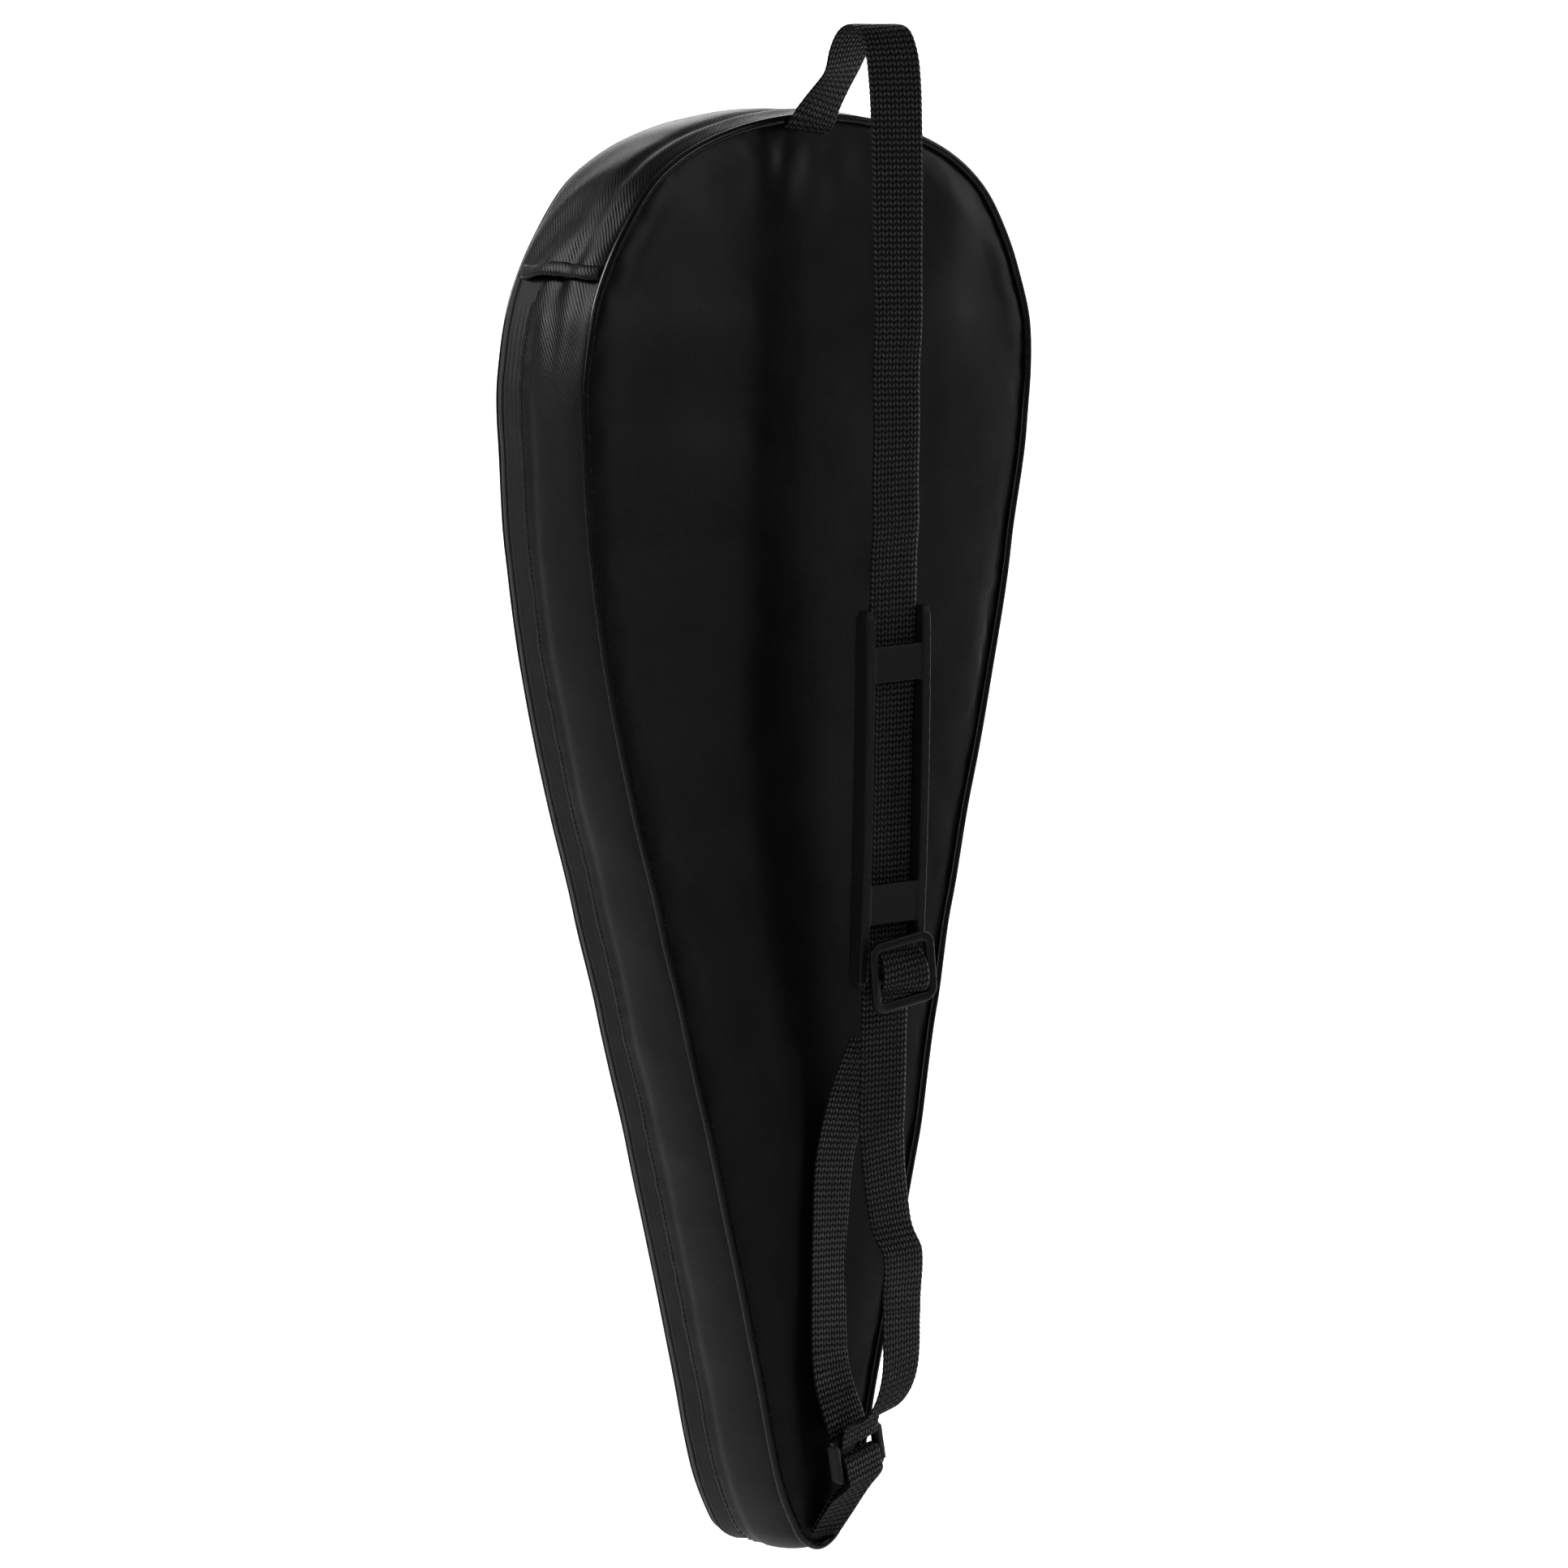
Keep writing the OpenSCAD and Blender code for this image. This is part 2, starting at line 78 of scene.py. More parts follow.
half = []
for i in range(len(ST) - 1):
    for k in range(24):
        z, w = cr(st(i - 1), st(i), st(i + 1), st(i + 2), k / 24)
        half.append((w, z))
half.append((0.0, 715.0))
loop = half + [(-x, z) for x, z in reversed(half[1:-1])]
# light smoothing, so that the fabric's edge has no kinks
for _ in range(30):
    loop = [((loop[i - 1][0] + 2 * loop[i][0] + loop[(i + 1) % len(loop)][0]) / 4, (loop[i - 1][1] + 2 * loop[i][1] + loop[(i + 1) % len(loop)][1]) / 4) for i in range(len(loop))]
acc = [0.0]
for i in range(len(loop)):
    a, b = loop[i], loop[(i + 1) % len(loop)]
    acc.append(acc[-1] + math.hypot(b[0] - a[0], b[1] - a[1]))
L = acc[-1]
import bisect


def P(u):
    """Point on the outline u mm from the tip, going up the right side, over the top and down the left."""
    u %= L
    i = min(bisect.bisect_right(acc, u) - 1, len(loop) - 1)
    t = (u - acc[i]) / (acc[i + 1] - acc[i])
    a, b = loop[i], loop[(i + 1) % len(loop)]
    return a[0] + (b[0] - a[0]) * t, a[1] + (b[1] - a[1]) * t


def T(u):
    a, b = P(u - 1.5), P(u + 1.5)
    d = math.hypot(b[0] - a[0], b[1] - a[1])
    return (b[0] - a[0]) / d, (b[1] - a[1]) / d


def N(u):
    t = T(u)
    return t[1], -t[0]


def u_at(z, side):
    """The u of the outline's point at height z on the right (+1) or left (-1) side."""
    lo, hi = (0.0, L / 2) if side > 0 else (L / 2, L)
    for _ in range(50):
        m = (lo + hi) / 2
        if (P(m)[1] < z) == (side > 0): lo = m
        else: hi = m
    return (lo + hi) / 2


def lerp_table(tab, z):
    if z <= tab[0][0]: return tab[0][1]
    for a, b in zip(tab, tab[1:]):
        if z <= b[0]:
            t = (z - a[0]) / (b[0] - a[0]); t = t * t * (3 - 2 * t)
            return a[1] + (b[1] - a[1]) * t
    return tab[-1][1]


# The case bends slightly: its middle stands back from the strap
BOW = [(0, 0), (120, 0.6), (200, 2.2), (267, 6.2), (318, 9.4), (380, 12.0), (440, 12.3), (500, 11.4), (560, 8.0), (620, 4.4), (680, 1.2), (715, 0)]


def smooth01(t):
    t = max(0.0, min(1.0, t))
    return t * t * (3 - 2 * t)


def bow(z):
    return lerp_table(BOW, z)


def hw(z):
    z = max(0.0, min(715.0, z))
    return abs(P(u_at(z, 1))[0])


def nz(x, y, z, s):
    return noise.noise(Vector((x / s, y / s, z / s)))


# ------------------------------------------------------------------ mesh helpers
def make_mesh(name, verts, faces, mm=None, smooth=True):
    me = bpy.data.meshes.new(name)
    me.from_pydata([tuple(v) for v in verts], [], faces)
    me.update()
    if mm is not None:
        at = me.attributes.new("mm", "FLOAT_VECTOR", "POINT")
        flat = []
        for m in mm: flat.extend(m)
        at.data.foreach_set("vector", flat)
    if smooth:
        me.polygons.foreach_set("use_smooth", [True] * len(me.polygons))
    o = bpy.data.objects.new(name, me)
    bpy.context.collection.objects.link(o)
    return o


def grid(name, rows, mm, closed_u=False, flip=False):
    n, m = len(rows), len(rows[0])
    verts = [v for r in rows for v in r]
    mmf = [v for r in mm for v in r]
    faces = []
    for i in range(n if closed_u else n - 1):
        for j in range(m - 1):
            a, b, c, d = i * m + j, ((i + 1) % n) * m + j, ((i + 1) % n) * m + j + 1, i * m + j + 1
            faces.append((a, d, c, b) if flip else (a, b, c, d))
    return make_mesh(name, verts, faces, mmf)


def tube(name, pts, r, seg=10, closed=False, up=(0, 1, 0), squash=1.0):
    n = len(pts)
    verts, mm, faces = [], [], []
    dist = 0.0
    for i, p in enumerate(pts):
        a = pts[(i - 1) % n] if (closed or i > 0) else pts[i]
        b = pts[(i + 1) % n] if (closed or i < n - 1) else pts[i]
        t = (b - a).normalized()
        s = t.cross(Vector(up)).normalized()
        w = s.cross(t).normalized()
        if i: dist += (p - pts[i - 1]).length * 1000
        rr = r(i) if callable(r) else r
        for k in range(seg):
            ang = 2 * math.pi * k / seg
            verts.append(p + s * (rr * math.cos(ang)) + w * (rr * squash * math.sin(ang)))
            mm.append((dist, ang * rr * 1000, 0))
    for i in range(n if closed else n - 1):
        for k in range(seg):
            a, b = i * seg + k, i * seg + (k + 1) % seg
            c, d = ((i + 1) % n) * seg + (k + 1) % seg, ((i + 1) % n) * seg + k
            faces.append((a, b, c, d))
    if not closed:
        faces.append(tuple(range(seg)))
        faces.append(tuple(reversed(range((n - 1) * seg, n * seg))))
    return make_mesh(name, verts, faces, mm)


def fix_normals(o):
    bm = bmesh.new(); bm.from_mesh(o.data)
    bmesh.ops.remove_doubles(bm, verts=bm.verts, dist=1e-6)
    bmesh.ops.recalc_face_normals(bm, faces=bm.faces)
    bm.to_mesh(o.data); bm.free()
    return o


def solidify(o, t, offset=-1.0):
    m = o.modifiers.new("thick", "SOLIDIFY"); m.thickness = t; m.offset = offset
    m.use_rim = True
    return o


def apply_mods(o):
    dg = bpy.context.evaluated_depsgraph_get()
    me = bpy.data.meshes.new_from_object(o.evaluated_get(dg), preserve_all_data_layers=True, depsgraph=dg)
    o.modifiers.clear()
    o.data = me
    return o


def smooth_mesh(o):
    o.data.polygons.foreach_set("use_smooth", [True] * len(o.data.polygons))
    return o


# ------------------------------------------------------------------ materials
class G:
    """A small builder of node graphs."""

    def __init__(self, name):
        self.m = bpy.data.materials.new(name)
        self.m.use_nodes = True
        self.nt = self.m.node_tree
        self.b = self.nt.nodes["Principled BSDF"]

    def n(self, t, **kw):
        x = self.nt.nodes.new(t)
        for k, v in kw.items(): setattr(x, k, v)
        return x

    def link(self, a, b):
        self.nt.links.new(a, b)

    def put(self, sock, v):
        if isinstance(v, (int, float)): sock.default_value = v
        else: self.link(v, sock)

    def math(self, op, a, b=None, c=None, clamp=False):
        x = self.n("ShaderNodeMath", operation=op); x.use_clamp = clamp
        self.put(x.inputs[0], a)
        if b is not None: self.put(x.inputs[1], b)
        if c is not None: self.put(x.inputs[2], c)
        return x.outputs[0]

    def coords(self):
        a = self.n("ShaderNodeAttribute", attribute_name="mm")
        s = self.n("ShaderNodeSeparateXYZ"); self.link(a.outputs["Vector"], s.inputs[0])
        return a.outputs["Vector"], s.outputs[0], s.outputs[1]

    def obj_coords(self, k=1000.0):
        t = self.n("ShaderNodeTexCoord")
        mp = self.n("ShaderNodeMapping"); mp.inputs["Scale"].default_value = (k, k, k)
        self.link(t.outputs["Object"], mp.inputs["Vector"])
        s = self.n("ShaderNodeSeparateXYZ"); self.link(mp.outputs[0], s.inputs[0])
        return mp.outputs[0], s.outputs[0], s.outputs[1], s.outputs[2]

    def noise(self, vec, scale, detail=3.0, rough=0.5, dist=0.0):
        x = self.n("ShaderNodeTexNoise")
        self.link(vec, x.inputs["Vector"])
        x.inputs["Scale"].default_value = scale; x.inputs["Detail"].default_value = detail
        x.inputs["Roughness"].default_value = rough; x.inputs["Distortion"].default_value = dist
        return x.outputs[0]

    def ramp(self, fac, stops):
        x = self.n("ShaderNodeValToRGB"); self.link(fac, x.inputs[0])
        e = x.color_ramp.elements
        while len(e) < len(stops): e.new(0.5)
        for el, (p, c) in zip(e, stops):
            el.position = p
            el.color = (c, c, c, 1) if isinstance(c, (int, float)) else (*c, 1)
        return x.outputs[0]

    def remap(self, v, a, b, c, d):
        x = self.n("ShaderNodeMapRange")
        self.link(v, x.inputs[0])
        for i, val in zip((1, 2, 3, 4), (a, b, c, d)): x.inputs[i].default_value = val
        return x.outputs[0]

    def mixc(self, f, a, b):
        x = self.n("ShaderNodeMix", data_type="RGBA")
        self.put(x.inputs[0], f)
        for s, v in ((x.inputs[6], a), (x.inputs[7], b)):
            if isinstance(v, tuple): s.default_value = (*v, 1)
            else: self.link(v, s)
        return x.outputs[2]

    def bump(self, h, strength, dist, normal=None):
        x = self.n("ShaderNodeBump")
        x.inputs["Strength"].default_value = strength
        x.inputs["Distance"].default_value = dist
        self.link(h, x.inputs["Height"])
        if normal is not None: self.link(normal, x.inputs["Normal"])
        return x.outputs[0]

    def out(self, color=None, rough=None, normal=None, metallic=0.0, sheen=0.0, sheen_rough=0.3, spec=0.5, coat=0.0, aniso=0.0):
        b = self.b
        if color is not None:
            if isinstance(color, tuple): b.inputs["Base Color"].default_value = (*color, 1)
            else: self.link(color, b.inputs["Base Color"])
        if rough is not None: self.put(b.inputs["Roughness"], rough)
        if normal is not None: self.link(normal, b.inputs["Normal"])
        b.inputs["Metallic"].default_value = metallic
        b.inputs["Sheen Weight"].default_value = sheen
        b.inputs["Sheen Roughness"].default_value = sheen_rough
        b.inputs["Specular IOR Level"].default_value = spec
        b.inputs["Coat Weight"].default_value = coat
        if aniso:
            b.inputs["Anisotropic"].default_value = aniso
            t = self.n("ShaderNodeCombineXYZ"); t.inputs[2].default_value = 1.0
            self.link(t.outputs[0], b.inputs["Tangent"])
        return self.m


def mat_twill(name, dark, light, rough, sheen, pitch=1.05, angle=0.9, spec=0.35, cloud=0.5, warp=0.35, aniso=0.0):
    """Fine diagonal twill: ribs along one diagonal, broken by threads across them."""
    g = G(name)
    vec, u, v = g.coords()
    nz_ = g.noise(vec, 0.05, 4.0)
    wob = g.noise(vec, 0.6, 2.0)
    d1 = g.math("ADD", g.math("MULTIPLY", u, math.cos(angle)), g.math("MULTIPLY", v, math.sin(angle)))
    d1 = g.math("ADD", d1, g.math("MULTIPLY", wob, 0.25))
    d2 = g.math("SUBTRACT", g.math("MULTIPLY", u, math.sin(angle)), g.math("MULTIPLY", v, math.cos(angle)))
    rib = g.math("SINE", g.math("MULTIPLY", d1, 2 * math.pi / pitch))
    thr = g.math("SINE", g.math("ADD", g.math("MULTIPLY", d2, 2 * math.pi / (pitch * 0.62)), g.math("MULTIPLY", d1, 2.1)))
    h = g.math("ADD", g.math("MULTIPLY", rib, 0.34), g.math("MULTIPLY", g.math("MULTIPLY", thr, g.math("ADD", rib, 1.2)), 0.16))
    h = g.math("ADD", h, 0.5)
    fine = g.noise(vec, 3.0, 2.0)
    hh = g.math("ADD", h, g.math("MULTIPLY", fine, 0.35))
    soft = g.noise(vec, 0.02, 3.0, 0.55)
    n0 = g.bump(soft, 0.35, 0.0016 * cloud)
    nrm = g.bump(hh, 0.55, 0.00022 * warp, n0)
    grain = g.noise(vec, 0.9, 3.0, 0.75)
    grain = g.remap(grain, 0.35, 0.65, 0.0, 1.0)
    lum = g.math("ADD", g.math("MULTIPLY", h, 0.45), g.math("MULTIPLY", nz_, 0.3))
    lum = g.math("ADD", lum, g.math("MULTIPLY", grain, 0.45), clamp=True)
    col = g.mixc(lum, dark, light)
    rg = g.math("ADD", g.math("ADD", rough - 0.12, g.math("MULTIPLY", nz_, 0.12)), g.math("MULTIPLY", grain, 0.12))
    return g.out(col, rg, nrm, sheen=sheen, spec=spec, aniso=aniso)


def mat_plain_weave(name, dark, light, rough, sheen, pitch=0.8, spec=0.3):
    g = G(name)
    vec, u, v = g.coords()
    a = g.math("SINE", g.math("MULTIPLY", u, 2 * math.pi / pitch))
    b = g.math("SINE", g.math("MULTIPLY", v, 2 * math.pi / pitch))
    h = g.math("ADD", g.math("MULTIPLY", g.math("MULTIPLY", a, b), 0.4), 0.5)
    cl = g.noise(vec, 0.06, 4.0)
    hh = g.math("ADD", h, g.math("MULTIPLY", g.noise(vec, 1.6, 3.0), 0.5))
    n0 = g.bump(g.noise(vec, 0.03, 3.0), 0.3, 0.0012)
    nrm = g.bump(hh, 0.45, 0.00012, n0)
    col = g.mixc(g.math("ADD", g.math("MULTIPLY", h, 0.5), g.math("MULTIPLY", cl, 0.5)), dark, light)
    return g.out(col, g.math("ADD", rough - 0.06, g.math("MULTIPLY", cl, 0.14)), nrm, sheen=sheen, spec=spec)


def mat_webbing():
    """Rows of slanted pairs of thick yarn, as in polypropylene webbing."""
    g = G("webbing_yarn")
    vec, u, v = g.coords()
    cw, rp = 30 / 13, 3.0
    col = g.math("DIVIDE", g.math("ADD", v, 15.0), cw)
    ci = g.math("FLOOR", col)
    x = g.math("SUBTRACT", col, ci)
    par = g.math("MODULO", ci, 2.0)
    sl = g.math("SUBTRACT", g.math("MULTIPLY", par, 2.0), 1.0)
    t = g.math("ADD", g.math("DIVIDE", u, rp), g.math("MULTIPLY", sl, g.math("MULTIPLY", g.math("SUBTRACT", x, 0.5), 0.42)))
    t2 = g.math("MULTIPLY", t, 2.0)
    f1 = g.math("ABSOLUTE", g.math("SINE", g.math("MULTIPLY", t, math.pi)))
    f2 = g.math("ABSOLUTE", g.math("SINE", g.math("MULTIPLY", t2, math.pi)))
    sx = g.math("POWER", g.math("SINE", g.math("MULTIPLY", x, math.pi)), 0.55)
    yarn = g.math("MULTIPLY", g.math("POWER", f1, 0.9), sx)
    strands = g.math("SINE", g.math("MULTIPLY", g.math("ADD", g.math("MULTIPLY", x, 3.0), g.math("MULTIPLY", t, 1.2)), 2 * math.pi))
    h = g.math("ADD", g.math("MULTIPLY", yarn, 0.85), g.math("MULTIPLY", g.math("MULTIPLY", strands, yarn), 0.07))
    h = g.math("ADD", h, g.math("MULTIPLY", f2, 0.06))
    fz = g.noise(vec, 2.2, 3.0)
    h2 = g.math("ADD", h, g.math("MULTIPLY", fz, 0.12))
    nrm = g.bump(h2, 1.0, 0.0009)
    cl = g.noise(vec, 0.09, 2.0)
    # base colour holds a painted highlight on the yarn crowns (up to 0.12 grey) and painted shade in the gaps between
    # yarns (near black); the noise adds random tone
    lum = g.math("MULTIPLY", g.math("POWER", yarn, 3.2), g.math("ADD", 0.5, g.math("MULTIPLY", cl, 0.8)), clamp=True)
    webbing_colour_painted_highlight = g.mixc(lum, (0.0003, 0.0003, 0.0003), (0.120, 0.120, 0.122))
    rg = g.remap(yarn, 0.0, 1.0, 0.75, 0.30)
    return g.out(webbing_colour_painted_highlight, rg, nrm, sheen=0.0, spec=0.26)


def mat_plastic(name, col, rough, grain=0.00008, gs=2.2, spec=0.45, edge=0.02):
    g = G(name)
    vec, x, y, z = g.obj_coords()
    gr = g.noise(vec, gs, 2.0, 0.6)
    vo = g.n("ShaderNodeTexVoronoi"); g.link(vec, vo.inputs["Vector"]); vo.inputs["Scale"].default_value = gs * 0.8
    cl = g.noise(vec, 0.03, 3.0)
    sc = g.noise(vec, 0.35, 4.0, 0.7, 0.6)
    h = g.math("ADD", g.math("MULTIPLY", gr, 0.6), g.math("MULTIPLY", vo.outputs["Distance"], 0.5))
    nrm = g.bump(h, 0.6, grain)
    geo = g.n("ShaderNodeNewGeometry")
    # base colour made lighter on convex edges, picked out by pointiness
    convex_edge_mask = g.remap(geo.outputs["Pointiness"], 0.5, 0.62, 0.0, 1.0)
    c0 = g.mixc(cl, tuple(c * 0.8 for c in col), tuple(c * 1.2 for c in col))
    c1 = g.mixc(g.math("MULTIPLY", convex_edge_mask, 0.5, clamp=True), c0, tuple(c + edge for c in col))
    rg = g.math("ADD", rough - 0.08, g.math("MULTIPLY", sc, 0.16))
    return g.out(c1, rg, nrm, spec=spec)


def mat_metal(name):
    g = G(name)
    vec, x, y, z = g.obj_coords()
    cl = g.noise(vec, 0.25, 4.0)
    sc = g.noise(vec, 1.4, 3.0, 0.6, 0.4)
    nrm = g.bump(sc, 0.3, 0.00004)
    col = g.mixc(cl, (0.012, 0.012, 0.012), (0.03, 0.03, 0.031))
    return g.out(col, g.math("ADD", 0.24, g.math("MULTIPLY", sc, 0.2)), nrm, metallic=0.35, spec=0.6, coat=0.3)


def mat_foam():
    g = G("foam_cells")
    vec, x, y, z = g.obj_coords()
    vo = g.n("ShaderNodeTexVoronoi"); g.link(vec, vo.inputs["Vector"]); vo.inputs["Scale"].default_value = 1.4
    cl = g.noise(vec, 0.05, 3.0)
    nrm = g.bump(vo.outputs["Distance"], 0.7, 0.0003)
    return g.out(g.mixc(cl, (0.12, 0.12, 0.125), (0.2, 0.2, 0.21)), 0.85, nrm, sheen=0.2)


def mat_tape():
    """Herringbone zip tape."""
    g = G("zip_tape_herringbone")
    vec, u, v = g.coords()
    col = g.math("DIVIDE", v, 1.6)
    ci = g.math("FLOOR", col); x = g.math("SUBTRACT", col, ci)
    sl = g.math("SUBTRACT", g.math("MULTIPLY", g.math("ABSOLUTE", g.math("MODULO", ci, 2.0)), 2.0), 1.0)
    t = g.math("ADD", g.math("DIVIDE", u, 1.1), g.math("MULTIPLY", sl, g.math("MULTIPLY", x, 1.3)))
    rib = g.math("ABSOLUTE", g.math("SINE", g.math("MULTIPLY", t, math.pi)))
    edge = g.math("SINE", g.math("MULTIPLY", x, math.pi))
    h = g.math("ADD", g.math("MULTIPLY", rib, 0.6), g.math("MULTIPLY", edge, 0.4))
    nrm = g.bump(g.math("ADD", h, g.math("MULTIPLY", g.noise(vec, 2.0, 2.0), 0.2)), 0.8, 0.00028)
    c = g.mixc(h, (0.001, 0.001, 0.001), (0.010, 0.010, 0.0105))
    return g.out(c, g.remap(h, 0, 1, 0.65, 0.45), nrm, sheen=0.02, spec=0.45)


def mat_thread():
    g = G("thread")
    vec, u, v = g.coords()
    tw = g.math("SINE", g.math("MULTIPLY", g.math("ADD", u, v), 9.0))
    nrm = g.bump(tw, 0.6, 0.0001)
    return g.out(g.mixc(g.noise(vec, 0.4, 2.0), (0.003, 0.003, 0.003), (0.014, 0.014, 0.014)), 0.45, nrm, sheen=0.02, spec=0.45)


M_SHELL = mat_twill("shell_twill", (0.0008, 0.0008, 0.0009), (0.0115, 0.0115, 0.0118), 0.37, 0.0, pitch=0.95, angle=0.72, spec=0.30, cloud=0.35, warp=0.25, aniso=0.75)
M_BAND = mat_twill("band_twill", (0.0008, 0.0008, 0.0009), (0.0115, 0.0115, 0.0119), 0.38, 0.0, pitch=1.6, angle=0.95, spec=0.26, cloud=0.4, warp=1.0, aniso=0.4)
M_LINING = mat_plain_weave("lining_weave", (0.012, 0.012, 0.013), (0.034, 0.034, 0.036), 0.6, 0.05)
M_BIND = mat_plain_weave("binding_weave", (0.003, 0.003, 0.003), (0.010, 0.010, 0.010), 0.62, 0.03, pitch=1.2)
M_PIPE = mat_plastic("piping_vinyl", (0.0026, 0.0026, 0.0027), 0.26, 0.00003, 1.6, 0.45, 0.002)
M_WEB = mat_webbing()
M_TAPE = mat_tape()
M_THREAD = mat_thread()
M_COIL = mat_plastic("zip_nylon", (0.004, 0.004, 0.004), 0.34, 0.00002, 3.0, 0.45, 0.004)
M_METAL = mat_metal("zip_enamel")
M_HARD = mat_plastic("buckle_plastic", (0.0038, 0.0038, 0.0038), 0.36, 0.00006, 2.4, 0.42, 0.004)
M_PAD = mat_plastic("pad_vinyl", (0.0105, 0.0105, 0.0097), 0.50, 0.00014, 1.5, 0.35, 0.004)
M_FOAM = mat_foam()


def dress(o, mat):
    o.data.materials.clear(); o.data.materials.append(mat)
    return o


# ------------------------------------------------------------------ hinge line of the flap and zip ends
HA, HB = (-137.0, 637.0), (40.0, 95.0)
_l = math.hypot(HB[0] - HA[0], HB[1] - HA[1])
HU = ((HB[0] - HA[0]) / _l, (HB[1] - HA[1]) / _l)
HN = (HU[1], -HU[0])                       # to the flap's side


def flap_d(x, z):
    return (x - HA[0]) * HN[0] + (z - HA[1]) * HN[1]


def blend_flap(o):
    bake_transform(o)
    return o


UA = u_at(637, -1)                         # upper left end of the zip
UZ = u_at(184, 1)                          # upper right end of the zip
UB = u_at(95, 1)                           # lower end of the fold line
ZIP_LEN = (L - UA) + UZ

# ------------------------------------------------------------------ panels
DIMPLES = [(-104, 658, 1.5, 26), (-86, 597, 1.1, 30), (87, 666, -1.2, 24), (110, 633, 1.3, 28), (73, 613, -1.0, 34), (-60, 640, -1.0, 30),
           (-96, 540, 0.9, 34), (60, 560, 0.8, 40), (-30, 520, -0.8, 46), (-70, 450, 0.8, 40), (90, 480, -0.7, 38), (0, 600, 0.7, 50),
           (-52, 380, -0.6, 40), (62, 400, 0.7, 40), (-40, 300, 0.6, 34), (44, 300, -0.6, 30), (10, 690, 1.2, 16), (-34, 690, -0.9, 14)]


def panel_height(x, z, d, seed):
    """How far the padded panel stands out past its seam, mm, at d mm from the seam."""
    w = hw(z)
    k = min(1.0, max(0.0, w / 143))
    er = math.hypot(x, max(0.0, z - 590.0), max(0.0, 26.0 - z))
    rr = 7.0 + 6.0 * k
    lin = max(0.0, 1 - (math.sqrt(er * er + rr * rr) - rr) / max(er + d - 0.6 * rr, 10.0))
    h = 3.0 * (1 - math.exp(-d / 6.5)) + (1.0 + 8.0 * k) * (0.8 * lin + 0.2 * (1 - math.exp(-d / 22)))
    f = min(1.0, d / 16)
    h += f * (1.0 * nz(x + seed, 0, z, 95) + 0.5 * nz(x, seed, z, 42) + 0.10 * nz(x * 1.0, seed, z * 0.5, 13))
    # seam puckers
    e = math.exp(-d / 9.0) * min(1.0, d / 2.0)
    h += e * 0.9 * nz(seed, x * 1.0, z * 1.0, 9.0)
    # drag lines below the strap's anchor
    q = math.exp(-((x + 9) / 22) ** 2 - (max(0.0, 706 - z) / 22) ** 2)
    h -= f * q * (1.6 + 0.8 * math.sin((x + 9 - (z - 700) * 0.35) / 3.4))
    for dx, dz, a, r in DIMPLES:
        q = ((x - dx) ** 2 + ((z - dz) * 0.8) ** 2) / (r * r)
        if q < 6: h -= f * a * math.exp(-q)
    return h


def centre_of(x, z):
    zc = max(26.0, min(590.0, z))
    return 0.0, zc


def panel(name, y_seam, sign, step_u, rings, seed, height, closed_edge=0.0):
    """A crowned sheet inside the outline. sign -1 stands out to -Y, +1 to +Y."""
    nu = int(L / step_u)
    rows, mm = [], []
    dists = []
    for i in range(nu):
        u = L * i / nu
        px, pz = P(u)
        cx, cz = centre_of(px, pz)
        ln = math.hypot(px - cx, pz - cz)
        row, mr = [], []
        for j in range(rings + 1):
            t = j / rings
            s = t ** 1.6                       # closer rings near the seam
            x, z = px + (cx - px) * s, pz + (cz - pz) * s
            nx, nzv = N(u)
            d = abs((x - px) * nx + (z - pz) * nzv)
            d = min(d, 200.0)
            if px != 0: d = min(d, max(0.0, hw(z) - abs(x)) + 0.0) if 30 < z < 600 else d
            h = height(x, z, d, seed)
            row.append(C(x, y_seam + sign * h + bow(z), z))
            mr.append((x, z, 0))
        rows.append(row); mm.append(mr)
    o = grid(name, rows, mm, closed_u=True, flip=(sign < 0))
    bm = bmesh.new(); bm.from_mesh(o.data)
    bmesh.ops.remove_doubles(bm, verts=bm.verts, dist=2e-5)
    bmesh.ops.recalc_face_normals(bm, faces=bm.faces)
    bm.to_mesh(o.data); bm.free()
    # smooth shading only; the centre, where the rows meet, is settled by relax_centre on the two outer panels
    smooth_mesh(o)
    return o


def relax_centre(o, iters=8):
    bm = bmesh.new(); bm.from_mesh(o.data); bm.verts.ensure_lookup_table()
    vs = [v for v in bm.verts if abs(v.co.x - X0) < 0.02 and not v.is_boundary]
    for _ in range(iters):
        new = {v: sum((e.other_vert(v).co for e in v.link_edges), Vector()) / len(v.link_edges) for v in vs}
        for v, c in new.items(): v.co.y = v.co.y * 0.4 + c.y * 0.6
    bm.to_mesh(o.data); bm.free()


SU = 3.2
rear = panel("rear_panel_skin", -33.6, -1, SU, 46, 3.0, panel_height)
relax_centre(rear)
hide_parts("rear_panel", "rear_foam"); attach(rear, "case"); dress(rear, M_SHELL); solidify(rear, 0.0011)
front = panel("front_panel_skin", 33.6, 1, SU, 46, 17.0, lambda x, z, d, seed: 0.25 * panel_height(x, z, d, seed) if z < 690 else 0.25 * min(9.0, panel_height(x, z, d, seed)))
relax_centre(front)
dress(front, M_SHELL); solidify(front, 0.0011); apply_mods(front)
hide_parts("front_panel", "front_flap", "front_foam", "front_flap_foam"); blend_flap(front)


def lining_height(x, z, d, seed):
    q = abs(math.sin((x + z * 0.5) / 28 * math.pi) * math.sin((x - z * 0.5) / 28 * math.pi))
    return 0.2 + min(1.0, d / 12) * (1.1 * q ** 0.6 + 0.6 * nz(x, seed, z, 40))


